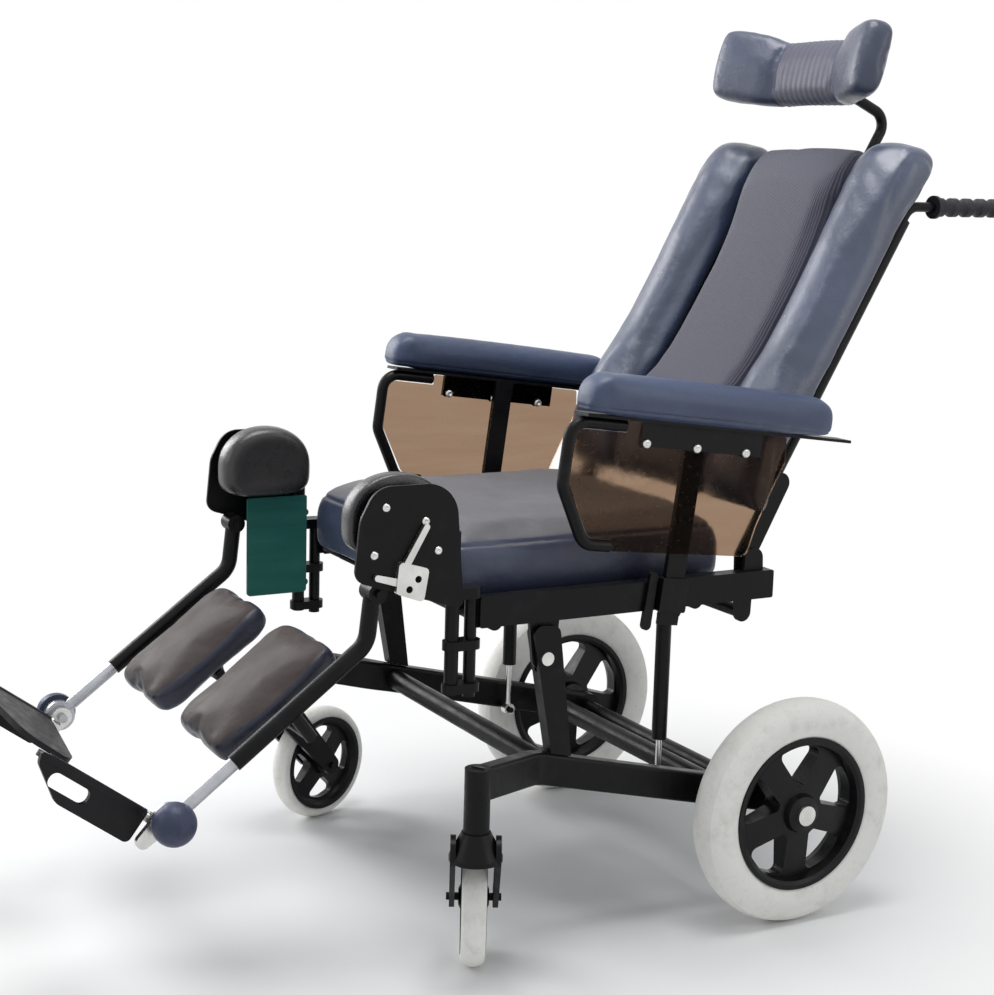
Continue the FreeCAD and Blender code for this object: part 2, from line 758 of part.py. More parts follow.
def swing_pin(body):
    """The upright pin that a leg support hooks on, welded to the rail's end."""
    pad(body, "XY_Plane", disc((s.swing_x, s.swing_y), s.swing_radius), s.swing_bottom,
        s.swing_top - s.swing_bottom, "Sizes.swing_top - Sizes.swing_bottom")
    web = loop((s.swing_x - 4, s.swing_y), (s.swing_x + 4, s.swing_y), (s.swing_x + 4, s.rail_front + 4),
               (s.swing_x - 4, s.rail_front + 4))
    pad(body, "XY_Plane", web, s.rail_bottom, s.rail_top - s.rail_bottom)


def seat_tubes():
    reach = s.rail_x - s.rail_wide / 2
    z = s.seat_pan_z - s.seat_tube_radius
    bars = []
    for y in (s.seat_front_tube_y, s.seat_rear_tube_y):
        bars.append(rod((-reach, y, z), (reach, y, z), s.seat_tube_radius))
    bracket = []
    eye = (s.lock_front_y, s.lock_z)
    for x in (-13, 9):
        ear = Part.Face(Part.Wire([g.toShape() for g in link(eye, 11, (s.lock_front_y, s.seat_pan_z - 14), 13)]))
        ear.rotate(Vector(), Vector(1, 1, 1), 120)
        ear.translate(Vector(x, 0, 0))
        bracket.append(ear.extrude(Vector(4, 0, 0)))
    plate_low = s.seat_pan_z - 7
    spine = Part.makeBox(40, s.lock_front_y - s.seat_front_tube_y + 30, 7,
                         Vector(-20, s.seat_front_tube_y, plate_low))
    pin = rod((-16, *eye), (16, *eye), 5)
    front = fused([bars[0], spine] + bracket + [pin])
    keep(feature("seat_tubes", Part.makeCompound([front, bars[1]])), "seat_tubes")


def seat_pan():
    body = new_body("seat_pan")
    half = s.rail_x - s.rail_wide / 2 - 6
    front = s.cushion_front + 24
    rear = s.cushion_rear - 20
    outline = rounded([(-half, front), (half, front), (half, rear), (-half, rear)], [20, 20, 20, 20])
    pad(body, "XY_Plane", outline, s.seat_pan_z, s.seat_pan_thick, "Sizes.seat_pan_thick")
    for y in (-430, -340, -250, -160):
        slots = rounded([(-120, y), (120, y), (120, y + 30), (-120, y + 30)], [14, 14, 14, 14])
        pocket(body, "XY_Plane", slots, s.seat_pan_z - 1, s.seat_pan_thick + 2)
    keep(body, "seat_pan")


def seat_cushion():
    """A boxed cushion: sides drawn in at both ends, a crowned top and a rolled front edge."""
    length = s.cushion_rear - s.cushion_front
    tall = s.cushion_top - s.cushion_bottom
    rings = []
    for along, wide, high in rounded_ends(0.075, 0.93, 0.60):
        y = s.cushion_front + along * length
        low = s.cushion_bottom + 8 * (1 - high)
        top = s.cushion_bottom + tall * high
        rings.append(cushion_section(lambda a, b, y=y: Vector(a, y, b), s.cushion_half * wide, low, top, 28 * high,
                                     s.cushion_crown * high))
    keep(feature("seat_cushion", Part.makeLoft(rings, True, True)), "seat_cushion")


# Back support, drawn in a frame that leans with it: Y behind the padding, Z up along it

def back_place(item, label):
    return keep(item, label, y="Sizes.back_y", z="Sizes.back_z", angle=-s.back_lean)


def back_local(y, z):
    """A point of the side view in the leaning frame."""
    turn = math.radians(s.back_lean)
    dy = y - s.back_y
    dz = z - s.back_z
    return dy * math.cos(turn) - dz * math.sin(turn), dy * math.sin(turn) + dz * math.cos(turn)


def back_frame():
    """Two canes with side arms below, cross tubes, and the bent rods of the push handles."""
    hinge = back_local(s.recline_y, s.recline_z)
    foot = back_local(s.recline_y, s.recline_z - s.back_arm)
    behind = s.shell_thick + s.cane_radius
    shapes = []
    for sign in (-1, 1):
        x = sign * s.cane_x
        shapes.append(rod((x, behind, 26), (x, behind, s.cane_top), s.cane_radius))
        turn = math.radians(s.back_lean)
        end_y, end_z = back_local(s.grip_end - 6, 0)
        reach = s.grip_end - 6 - (s.back_y + behind * math.cos(turn) + (s.cane_top + 22) * math.sin(turn))
        tip = (behind + reach * math.cos(turn), s.cane_top + 22 + reach * math.sin(turn))
        shapes.append(tube([(x, behind, s.cane_top - 40), (x, behind, s.cane_top + 22), (x, *tip)], s.handle_bend,
                           s.handle_radius))
    for sign in (-1, 1):
        plate_x = sign * (s.rail_x - s.rail_wide / 2 - 8) - 3
        for first, r_first, second, r_second in ((foot, 13, hinge, 16), (hinge, 16, (behind, 60), 15)):
            face = Part.Face(Part.Wire([g.toShape() for g in link(first, r_first, second, r_second)]))
            face.rotate(Vector(), Vector(1, 1, 1), 120)
            face.translate(Vector(plate_x, 0, 0))
            shapes.append(face.extrude(Vector(6, 0, 0)))
    reach = s.rail_x - s.rail_wide / 2 - 8
    shapes.append(rod((-reach, *foot), (reach, *foot), s.lock_bar_radius))
    shapes.append(rod((-reach, behind, 60), (reach, behind, 60), 9))
    shapes.append(rod((-s.cane_x, behind, 430), (s.cane_x, behind, 430), 9))
    stem_y = behind + s.head_stem_back
    socket = Part.makeBox(32, s.head_stem_back + 20, 64, Vector(-16, behind - 6, 428))
    frame = fused(shapes + [socket])
    hole = rod((-300, *hinge), (300, *hinge), s.recline_pin_radius + s.pin_gap)
    bore = Part.makeCylinder(s.head_stem_radius + s.pin_gap, 90, Vector(0, stem_y, 415))
    back_place(feature("back_frame", frame.cut(hole).cut(bore)), "back_frame")


def push_grips():
    """Ribbed sleeves with finger grooves, closed at the rear end."""
    turn = math.radians(s.back_lean)
    behind = s.shell_thick + s.cane_radius
    high = s.cane_top + 22
    z = s.back_z + high * math.cos(turn) - behind * math.sin(turn)
    grips = []
    for sign in (-1, 1):
        start = s.grip_end - s.grip_length
        x = sign * s.cane_x
        body = Part.makeCylinder(s.grip_radius, s.grip_length, Vector(x, start, z), Y_AXIS)
        flange = Part.makeCylinder(s.grip_radius + 3, 5, Vector(x, start, z), Y_AXIS)
        for k in range(4):
            groove = Part.makeTorus(s.grip_radius + 9, 12, Vector(x, start + 24 + k * 26, z - 0), Y_AXIS)
            body = body.cut(groove)
        core = Part.makeCylinder(s.handle_radius + s.pin_gap, s.grip_length - 5, Vector(x, start - 0.5, z), Y_AXIS)
        grips.append(body.fuse(flange).cut(core))
    keep(feature("push_grips", Part.makeCompound(grips)), "push_grips")


def back_shell():
    body = new_body("back_shell")
    outline = rounded([(-s.shell_half, 14), (s.shell_half, 14), (s.shell_half, s.back_length - 22),
                       (-s.shell_half, s.back_length - 22)], [30, 30, 70, 70])
    item = body.newObject("PartDesign::Pad", "pad")
    item.Profile = sketch_on(body, "XZ_Plane", outline)
    item.setExpression("Length", "Sizes.shell_thick - 0.4")
    item.Reversed = True
    back_place(body, "back_shell")


def back_profile(up, crest):
    """How far the padding stands forward at a height: a lumbar swell, a waist and a shoulder swell."""
    t = up / s.back_length
    lumbar = 28 * math.exp(-((t - 0.17) / 0.13) ** 2)
    shoulder = 24 * math.exp(-((t - 0.92) / 0.20) ** 2)
    return crest + lumbar + shoulder


def back_rings(centre, half, crest, edge, crown, ends):
    rings = []
    for t, narrow, thin in ends:
        up = t * s.back_length
        depth = back_profile(up, crest) * thin
        bend = min(edge, depth * 0.45)
        rings.append(cushion_section(lambda a, b, up=up: Vector(centre + a, -b, up), half * narrow, s.running_gap, depth, bend,
                                     crown * thin))
    return rings


def back_padding():
    gap = s.running_gap
    stations = [(0.0, 0.90, 0.50), (0.008, 0.94, 0.72), (0.025, 0.98, 0.90), (0.06, 1, 1)]
    stations += [(0.06 + 0.06 * k, 1, 1) for k in range(1, 15)]
    centre_half = s.back_centre_half
    middle = back_rings(0, centre_half - gap, 29, 10, 3, stations + [(0.955, 1, 0.92), (0.975, 0.99, 0.74),
                                                                      (0.985, 0.98, 0.5)])
    back_place(feature("back_cushion", Part.makeLoft(middle, True, True)), "back_cushion")
    bolster_half = (s.back_half - centre_half) / 2
    centre = centre_half + bolster_half
    shoulder = [(0.94, 0.97, 0.97), (0.965, 0.91, 0.88), (0.985, 0.80, 0.70), (1.0, 0.62, 0.40)]
    side = back_rings(centre, bolster_half - gap, 38, 28, 14, stations + shoulder)
    bolster = feature("back_bolster_left", Part.makeLoft(side, True, True))
    back_place(bolster, "back_bolster_left")
    pair(bolster, "back_bolster")


# Recline gas spring under the seat

def recline_spring():
    front = s.lock_front_y
    z = s.lock_z
    barrel = Part.makeCylinder(s.lock_radius, s.lock_tube, Vector(0, front + 14, z), Y_AXIS)
    eye = fused([rod((-8.5, front, z), (8.5, front, z), 9),
                 Part.makeCylinder(7, 16, Vector(0, front, z), Y_AXIS)])
    hole = rod((-20, front, z), (20, front, z), 5 + s.pin_gap)
    bore = Part.makeCylinder(s.lock_rod_radius + s.pin_gap, s.lock_tube, Vector(0, front + 24, z), Y_AXIS)
    cylinder = feature("recline_cylinder", fused([barrel, eye]).cut(hole).cut(bore))
    keep(cylinder, "recline_cylinder")

    bar_y = s.recline_y
    bar_z = s.recline_z - s.back_arm
    inner = s.lock_bar_radius + s.lock_eye_gap
    lift = 2.4
    rod_start = front + 10 + s.lock_tube - 60
    shaft = Part.makeCylinder(s.lock_rod_radius, bar_y - inner - rod_start, Vector(0, rod_start, z), Y_AXIS)
    ring = rod((-8, bar_y, bar_z + lift), (8, bar_y, bar_z + lift), inner + 5)
    window = rod((-20, bar_y, bar_z + lift), (20, bar_y, bar_z + lift), inner)
    spindle = feature("recline_rod", fused([shaft, ring]).cut(window))
    keep(spindle, "recline_rod")


# Head support

def head_ball():
    """The ball joint, just behind the middle of the head cushion."""
    turn = math.radians(s.head_lean)
    out = s.head_ball + s.running_gap
    drop = 12
    return (s.head_y + out * math.cos(turn) - drop * math.sin(turn),
            s.head_z - out * math.sin(turn) - drop * math.cos(turn))


def head_stem():
    """A bent bar from the socket on the back up behind the head, with a ball at its end."""
    stem_y = s.shell_thick + s.cane_radius + s.head_stem_back
    ball = back_local(*head_ball())
    bar = tube([(0, stem_y, 368), (0, stem_y, ball[1] + 14), (0, *ball)], 24, s.head_stem_radius)
    knob = Part.makeSphere(s.head_ball, Vector(0, *ball))
    back_place(feature("head_stem", fused([bar, knob])), "head_stem")


def head_cushion():
    """A padded centre with a wing turned forward at each side, lofted across in one form."""
    half = s.head_centre_half
    turn = math.radians(s.head_wing_turn)
    wing = [(1.0, 0.60, 0.45), (0.985, 0.74, 0.66), (0.95, 0.86, 0.84), (0.88, 0.96, 0.96), (0.75, 1.0, 1.0),
            (0.5, 1.0, 1.0), (0.25, 0.98, 0.97), (0.08, 0.95, 0.88), (0.0, 0.93, 0.80)]
    middle = [(0, k, 0.93, 0.78) for k in (-0.6, 0.0, 0.6)]
    full = [(-1, *w) for w in wing] + middle + [(1, *w) for w in reversed(wing)]
    rings = []
    for side, out, tall, deep in full:
        across = side * (half + s.head_wing * out * math.cos(turn)) if side else half * out
        ahead = s.head_wing * out * math.sin(turn) if side else 0
        lean = side * turn * min(1, out * 3) * 0.9
        drop = s.head_drop * (1 - out * abs(side))

        def place(a, b, across=across, ahead=ahead, lean=lean, drop=drop):
            return Vector(across - b * math.sin(lean), -ahead - b * math.cos(lean), a - drop)
        rings.append(cushion_section(place, s.head_tall / 2 * tall, 0, s.head_deep * deep, 15 * deep, 4))
    item = feature("head_cushion", Part.makeLoft(rings, True, True))
    keep(item, "head_cushion", y="Sizes.head_y", z="Sizes.head_z", angle=-s.head_lean)


# Arm supports, drawn in their sloping frame: Y along the pad, Z square to it

def arm_place(item, label):
    return keep(item, label, y="Sizes.arm_y", z="Sizes.arm_z", angle=-s.arm_slope)


def arm_frames():
    """Top strip, bolt strip, post and the bent front loop, welded in one."""
    x = s.arm_plate_x
    thick = s.arm_plate_thick
    top = s.arm_pad_bottom - s.running_gap
    strip = Part.makeBox(34, s.arm_pad_rear + 36 - s.arm_pad_front, 4, Vector(x - 17, s.arm_pad_front + 6, top - 4))
    bolt_strip = Part.makeBox(thick, 194, top + 10, Vector(x, -97, -10))
    post_inner = s.rail_x + s.rail_wide / 2 + s.running_gap
    post = Part.makeBox(s.arm_post_thick, s.arm_post_wide, top - s.arm_post_bottom,
                        Vector(post_inner, -s.arm_post_wide / 2, s.arm_post_bottom))
    joggle = Part.makeBox(x + thick - post_inner, s.arm_post_wide, 5, Vector(post_inner, -s.arm_post_wide / 2, top - 5))
    loop_x = s.arm_loop_x
    front = s.arm_pad_front - 6
    bent = tube([(loop_x, -120, top - 12), (loop_x, front, top - 12), (loop_x, front, -70), (loop_x, -158, -143),
                 (loop_x, -118, -143)], 24, s.arm_loop_radius)
    hung = Part.makeBox(8, 30, 10, Vector(loop_x - 4, -150, top - 12))
    frame = feature("arm_frame_left", fused([strip, bolt_strip, post, joggle, bent, hung]))
    arm_place(frame, "arm_frame_left")
    pair(frame, "arm_frame")


def arm_panels():
    """A tinted clothes guard, cut to clear the loop in front and the seat behind."""
    body = new_body("arm_panel_left")
    low = -150
    top = s.arm_pad_bottom - s.running_gap - 5.5
    clear = s.arm_loop_radius + s.running_gap
    loop_front = s.arm_pad_front - 6 + clear
    loop_low = -143 + clear
    outline = rounded(
        [(-117, loop_low), (-117, low), (104, low + 4), (113, -104), (128, -60), (146, -14), (141, top), (-116, top),
         (-116, 13 - clear), (loop_front, 13 - clear), (loop_front, -66), (-150, loop_low)],
        [2, 8, 12, 14, 20, 12, 4, 2, 2, 14, 16, 12])
    start = s.arm_plate_x - s.running_gap - s.arm_panel_thick
    pad(body, "YZ_Plane", outline, start, s.arm_panel_thick, "Sizes.arm_panel_thick")
    arm_place(body, "arm_panel_left")
    pair(body, "arm_panel")


def arm_pads():
    length = s.arm_pad_rear - s.arm_pad_front
    rings = []
    for along, wide, high in rounded_ends(0.06, 0.55, 0.42):
        y = s.arm_pad_front + along * length
        top = s.arm_pad_bottom + s.arm_pad_tall * high
        low = s.arm_pad_bottom + 6 * (1 - high)
        rings.append(cushion_section(lambda a, b, y=y: Vector(s.arm_pad_x + a, y, b), s.arm_pad_wide / 2 * wide, low,
                                     top, 14 * high, 3))
    item = feature("arm_pad_left", Part.makeLoft(rings, True, True))
    arm_place(item, "arm_pad_left")
    pair(item, "arm_pad")


# Leg supports

def hangers():
    """Post with three hooks round the swing pin, and the domed side plate at the knee."""
    body = new_body("hanger_left")
    centre = (s.swing_x, s.hanger_y)
    pad(body, "XY_Plane", disc(centre, s.hanger_radius), s.hanger_bottom, s.hanger_top - s.hanger_bottom)
    bite = s.running_gap
    low_hooks = (s.hanger_bottom + 2, s.rail_bottom - 26)
    for base in low_hooks:
        pad(body, "XY_Plane", link(centre, s.hanger_radius + 3, (s.swing_x, s.swing_y), s.swing_radius + 5), base, 12)
    pad(body, "XY_Plane", link(centre, s.hanger_radius + 3, (s.swing_x, s.swing_y), s.swing_radius + 5),
        s.rail_top + 1, s.swing_top + 6 - s.rail_top)
    plate = rounded([(-650, 525), (-643, 600), (-622, 640), (-513, 640), (-499, 478)], [18, 40, 34, 44, 8])
    pad(body, "YZ_Plane", plate, s.knee_plate_x, s.knee_plate_thick, "Sizes.knee_plate_thick")
    pad(body, "YZ_Plane", disc((s.knee_y, s.knee_z), s.knee_pin_radius), s.leg_x - 14,
        s.knee_plate_x - s.leg_x + 20)
    pocket(body, "XY_Plane", disc((s.swing_x, s.swing_y), s.swing_radius + s.pin_gap), s.hanger_bottom - 1,
           s.swing_top + bite - s.hanger_bottom + 1)
    keep(body, "hanger_left")
    pair(body, "hanger")


def knee_pads():
    """A domed pad held inside the side plate on two short bushes."""
    rings = []
    centre_y = -577
    low = 549
    for depth, half, tall in ((0, 60, 92), (4, 67, 97), (24, 67, 97), (32, 62, 91), (36, 56, 82), (38, 50, 74)):
        x = s.knee_pad_x - depth
        top = low + tall
        points = [(centre_y - half, low), (centre_y + half, low), (centre_y + half * 0.96, low + tall * 0.5),
                  (centre_y, top), (centre_y - half * 0.96, low + tall * 0.5)]
        place = [Vector(x, *p) for p in points]
        crown = 0.30
        right = Vector(x, centre_y + half * (1 - crown * 0.55), low + tall * 0.83)
        left = Vector(x, centre_y - half * (1 - crown * 0.55), low + tall * 0.83)
        rings.append(Part.Wire([
            Part.LineSegment(place[0], place[1]).toShape(),
            Part.LineSegment(place[1], place[2]).toShape(),
            Part.Arc(place[2], right, place[3]).toShape(),
            Part.Arc(place[3], left, place[4]).toShape(),
            Part.LineSegment(place[4], place[0]).toShape(),
        ]))
    bushes = [rod((s.knee_pad_x - 8, *at), (s.knee_plate_x - s.running_gap, *at), 9) for at in ((-605, 592), (-545, 600))]
    item = feature("knee_pad_left", fused([Part.makeLoft(rings, True, True)] + bushes))
    keep(item, "knee_pad_left")
    pair(item, "knee_pad")


def release_levers():
    """The bright catch on the knee plate: a block with two holes, a tail and a finger rod."""
    body = new_body("release_lever_left")
    start = s.knee_plate_x + s.knee_plate_thick + s.running_gap
    block = rounded([(-597, 545), (-560, 528), (-546, 498), (-580, 508)], [3, 5, 5, 5])
    block = rounded([(-594, 548), (-553, 536), (-560, 494), (-598, 508)], [6, 6, 6, 6])
    pad(body, "YZ_Plane", block, start, 9)
    pad(body, "YZ_Plane", link((-582, 545), 4.5, (-557, 588), 4), start + 1, 7)
    pad(body, "YZ_Plane", link((-590, 520), 5, (-622, 529), 4), start + 1, 6)
    for hole in ((-568, 524), (-580, 512)):
        pocket(body, "YZ_Plane", disc(hole, 4.5), start - 1, 12)
    keep(body, "release_lever_left")
    pair(body, "release_lever")


def leg_place(item, label):
    return keep(item, label, y="Sizes.knee_y", z="Sizes.knee_z", angle=s.leg_slope)


def leg_tubes():
    """A bent tube from the knee bolt down the shin, bored for the foot tube, with the calf bracket."""
    x = s.leg_x
    drop = -s.leg_drop
    path = [(x, 0, 0), (x, -46, drop), (x, -s.leg_end, drop)]
    outer = tube(path, 34, s.leg_radius)
    eye = rod((x - 12, 0, 0), (s.knee_plate_x - 0.5, 0, 0), 13)
    hole = rod((x - 20, 0, 0), (x + 30, 0, 0), s.knee_pin_radius + s.pin_gap)
    bore = rod((x, -s.leg_end - 1, drop), (x, -110, drop), s.foot_tube_radius + s.pin_gap)
    pin_y, pin_z = calf_pin()
    arm = rod((x, pin_y, drop), (x, pin_y, pin_z), 8)
    stub = rod((x, pin_y, pin_z), (s.calf_x - 40, pin_y, pin_z), 6)
    leg = fused([outer, eye, arm, stub]).cut(hole).cut(bore)
    item = feature("leg_tube_left", leg)
    leg_place(item, "leg_tube_left")
    pair(item, "leg_tube")


def calf_pin():
    """Where the calf pad turns, below its middle."""
    return -(s.calf_near + s.calf_long / 2), -s.leg_drop - s.calf_thick / 2 - 22


def calf_pads():
    """A crowned pad on a thin backing with a sleeve for its pin."""
    rings = []
    top = -32
    for along, wide, thin in rounded_ends(0.16, 0.72, 0.45):
        y = -s.calf_near - along * s.calf_long
        high = top - s.calf_thick + s.calf_thick * (0.5 + thin / 2)
        low = top - s.calf_thick * (0.5 + thin / 2)
        rings.append(cushion_section(lambda a, b, y=y: Vector(s.calf_x + a, y, b), s.calf_half * wide, low, high,
                                     18 * thin, 2))
    padding = Part.makeLoft(rings, True, True)
    pin_y, pin_z = calf_pin()
    low = top - s.calf_thick
    ribs = []
    for x in (s.calf_x - 28, s.calf_x + 34):
        rib = Part.makeBox(14, 26, low - pin_z + 4, Vector(x - 7, pin_y - 13, pin_z))
        collar = rod((x - 7, pin_y, pin_z), (x + 7, pin_y, pin_z), 13)
        ribs += [rib, collar]
    hole = rod((s.calf_x - 60, pin_y, pin_z), (s.leg_x, pin_y, pin_z), 6 + s.pin_gap)
    item = feature("calf_pad_left", fused([padding] + ribs).cut(hole))
    leg_place(item, "calf_pad_left")
    pair(item, "calf_pad")


def foot_tubes():
    """The bright lower tube with the ankle housing at its end."""
    x = s.leg_x
    drop = -s.leg_drop
    lower = rod((x, -150, drop), (x, -s.ankle + 15, drop), s.foot_tube_radius)
    housing = rod((x - 8, -s.ankle, drop), (x + 8, -s.ankle, drop), 21)
    dome = Part.makeSphere(27, Vector(x + 14, -s.ankle, drop))
    cap = dome.common(Part.makeBox(40, 80, 80, Vector(x + 8, -s.ankle - 40, drop - 40)))
    pin = rod((x - 24, -s.ankle, drop), (x, -s.ankle, drop), 6)
    item = feature("foot_tube_left", fused([lower, housing, cap, pin]))
    leg_place(item, "foot_tube_left")
    pair(item, "foot_tube")


def ankle_centre():
    """The ankle pin in the side view from the rear axle."""
    turn = math.radians(s.leg_slope)
    y = s.knee_y - s.ankle * math.cos(turn) + s.leg_drop * math.sin(turn)
    z = s.knee_z - s.ankle * math.sin(turn) - s.leg_drop * math.cos(turn)
    return y, z


def foot_place(item, label):
    y, z = ankle_centre()
    return keep(item, label, y=f"({y})", z=f"{z}", angle=-s.foot_pitch)


def foot_hinges():
    """The bright ankle arm, with the lug and pin that the footplate folds up on."""
    x = s.leg_x - 8 - s.running_gap
    z = s.foot_hinge_z
    arm = slab(link((0, 0), 14, (-9, -38), 9), x - 8, 8, upright=True)
    barrel = rod((s.foot_hinge_x, -4, z), (s.foot_hinge_x, -15, z), 7)
    neck = Part.makeBox(x - 4 - s.foot_hinge_x, 11, 12, Vector(s.foot_hinge_x, -15, z - 6))
    pin = rod((s.foot_hinge_x, -10, z), (s.foot_hinge_x, s.foot_heel - 140, z), 3.5)
    hole = rod((x - 20, 0, 0), (x + 10, 0, 0), 6 + s.pin_gap)
    item = feature("foot_hinge_left", fused([arm, barrel, neck, pin]).cut(hole))
    foot_place(item, "foot_hinge_left")
    pair(item, "foot_hinge")


def footplates():
    """A toed-out plate with a deep side wall below it; the wall has a hand hole near the toe."""
    outer = s.foot_hinge_x + 7
    inner = outer - s.foot_wide
    heel = s.foot_heel
    toe = heel - s.foot_deep
    top = s.foot_hinge_z + 6
    low = top - s.foot_wall
    outline = rounded([(inner, heel), (outer, heel), (outer, toe), (inner + 10, toe + 88)], [22, 3, 14, 44])
    plate = slab(outline, top - s.foot_thick, s.foot_thick)
    plate.rotate(Vector(outer, 0, top), Y_AXIS, -s.foot_roll)
    side = rounded([(heel, low), (heel, top - 1), (toe + 8, top - 1), (toe + 14, top - 16), (toe + 58, low)],
                   [8, 2, 3, 10, 18])
    wall = slab(side, outer - 8, 8, upright=True)
    hole = rounded([(toe + 34, low + 12), (toe + 90, low + 12), (toe + 90, low + 32), (toe + 34, low + 32)],
                   [9, 9, 9, 9])
    wall = wall.cut(slab(hole, outer - 12, 16, upright=True))
    knuckle = rod((s.foot_hinge_x, heel, s.foot_hinge_z), (s.foot_hinge_x, heel - 142, s.foot_hinge_z), 7)
    bore = rod((s.foot_hinge_x, heel + 5, s.foot_hinge_z), (s.foot_hinge_x, heel - 150, s.foot_hinge_z),
               3.5 + s.pin_gap)
    item = feature("footplate_left", fused([plate, wall, knuckle]).cut(bore))
    foot_place(item, "footplate_left")
    pair(item, "footplate")


def leg_panel():
    """A flat tinted panel inside the right leg support."""
    body = new_body("leg_panel_right")
    inner = s.swing_x - s.hanger_radius
    outline = rounded([(-604, 402), (-512, 402), (-512, 546), (-604, 546)], [5, 5, 3, 3])
    pad(body, "YZ_Plane", outline, 24 - inner, 4)
    for z in (416, 520):
        pad(body, "YZ_Plane", disc((s.hanger_y - 4, z), 5), s.running_gap - inner, 25)
    keep(body, "leg_panel_right")


rear_wheels()
caster_wheels()
caster_forks()
base_beams()
crossbars()
towers()
bolts()
tilt_springs()
seat_rails()
seat_tubes()
seat_pan()
seat_cushion()
back_frame()
push_grips()
back_shell()
back_padding()
recline_spring()
head_stem()
head_cushion()
arm_frames()
arm_panels()
arm_pads()
hangers()
knee_pads()
release_levers()
leg_tubes()
calf_pads()
foot_tubes()
foot_hinges()
footplates()
leg_panel()

doc.recompute()
broken = [item.Label for item in doc.Objects if {"Invalid", "Error"} & set(item.State)]
broken += [item.Label for item in subparts if item.Shape.isNull() or not item.Shape.isValid()]
if broken:
    raise RuntimeError(f"these pieces failed: {broken}")

os.makedirs("parts", exist_ok=True)
for item in subparts:
    item.Shape.exportStep(os.path.join("parts", item.Label + ".step"))
print(len(subparts), "sub-parts written")
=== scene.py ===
"""Tilt in space wheelchair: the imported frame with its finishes, upholstery, screws and studio."""

import json
import math

import bpy
import numpy as np
from mathutils import Matrix, Vector

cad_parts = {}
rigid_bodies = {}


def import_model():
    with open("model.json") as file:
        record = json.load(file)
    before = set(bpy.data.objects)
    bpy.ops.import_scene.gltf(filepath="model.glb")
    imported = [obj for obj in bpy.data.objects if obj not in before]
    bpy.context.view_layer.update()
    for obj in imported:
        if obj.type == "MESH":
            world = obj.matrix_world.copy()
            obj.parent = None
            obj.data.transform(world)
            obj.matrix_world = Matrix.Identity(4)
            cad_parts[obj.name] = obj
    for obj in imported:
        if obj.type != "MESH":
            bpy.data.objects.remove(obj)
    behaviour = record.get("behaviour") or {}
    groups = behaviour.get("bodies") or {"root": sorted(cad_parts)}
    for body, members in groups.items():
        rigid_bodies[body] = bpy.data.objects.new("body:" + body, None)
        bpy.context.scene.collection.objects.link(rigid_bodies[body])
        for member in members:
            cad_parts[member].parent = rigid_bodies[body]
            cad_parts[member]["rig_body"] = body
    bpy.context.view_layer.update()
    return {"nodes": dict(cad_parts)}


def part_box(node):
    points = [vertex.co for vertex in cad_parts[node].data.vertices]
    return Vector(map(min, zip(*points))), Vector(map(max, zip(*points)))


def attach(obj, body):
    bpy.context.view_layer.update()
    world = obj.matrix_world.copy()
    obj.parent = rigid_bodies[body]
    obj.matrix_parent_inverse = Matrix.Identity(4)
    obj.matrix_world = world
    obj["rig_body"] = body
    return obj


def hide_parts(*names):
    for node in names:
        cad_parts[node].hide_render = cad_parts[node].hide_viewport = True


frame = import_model()
NODES = frame["nodes"]
scene = bpy.context.scene


# Frame: steel tube and plate, cut, bent, welded and powder-coated black. The coat has a
# slight orange peel, holds dust, and is paler where hands and straps rub it.


def linear(red, green, blue):
    """A colour as it is seen in the photograph, with the screen's curve taken off for a shader."""
    return tuple(c / 12.92 if c <= 0.04045 else ((c + 0.055) / 1.055) ** 2.4
                 for c in (red, green, blue)) + (1.0,)


def add(tree, kind, sockets=None, **settings):
    """A shader node with its settings, and each socket set to a value or linked to an output."""
    node = tree.nodes.new("ShaderNode" + kind)
    for key, value in settings.items():
        setattr(node, key, value)
    for key, value in (sockets or {}).items():
        if isinstance(value, bpy.types.NodeSocket):
            tree.links.new(value, node.inputs[key])
        else:
            node.inputs[key].default_value = value
    return node


def blank(name, **sockets):
    """A new material, its node tree, its main shader and its object coordinates."""
    item = bpy.data.materials.new(name)
    item.use_nodes = True
    tree = item.node_tree
    main = tree.nodes["Principled BSDF"]
    for key, value in sockets.items():
        main.inputs[key.replace("_", " ")].default_value = value
    return item, tree, main, add(tree, "TexCoord").outputs["Object"]


def noise(tree, where, scale, detail=3.0, rough=0.55):
    """Clouds whose size is about one metre over the scale."""
    return add(tree, "TexNoise", {"Vector": where, "Scale": scale, "Detail": detail,
                                  "Roughness": rough}).outputs[0]


def spread(tree, value, low, high, start=0.3, end=0.7):
    """The value's stretch from start to end, mapped evenly onto the span from low to high."""
    sockets = {"Value": value, "From Min": start, "From Max": end, "To Min": low, "To Max": high}
    return add(tree, "MapRange", sockets).outputs[0]


def blended(tree, factor, first, second):
    """The first colour where the factor is 0 and the second where it is 1."""
    node = add(tree, "Mix", {0: factor}, data_type="RGBA")
    for key, value in ((6, first), (7, second)):
        if isinstance(value, bpy.types.NodeSocket):
            tree.links.new(value, node.inputs[key])
        else:
            node.inputs[key].default_value = value
    return node.outputs[2]


def bumps(tree, main, layers):
    """Bumps laid over one another: pairs of a height and its depth in metres."""
    last = None
    for height, depth in layers:
        sockets = {"Height": height, "Distance": depth, "Strength": 1.0}
        if last:
            sockets["Normal"] = last
        last = add(tree, "Bump", sockets).outputs[0]
    tree.links.new(last, main.inputs["Normal"])


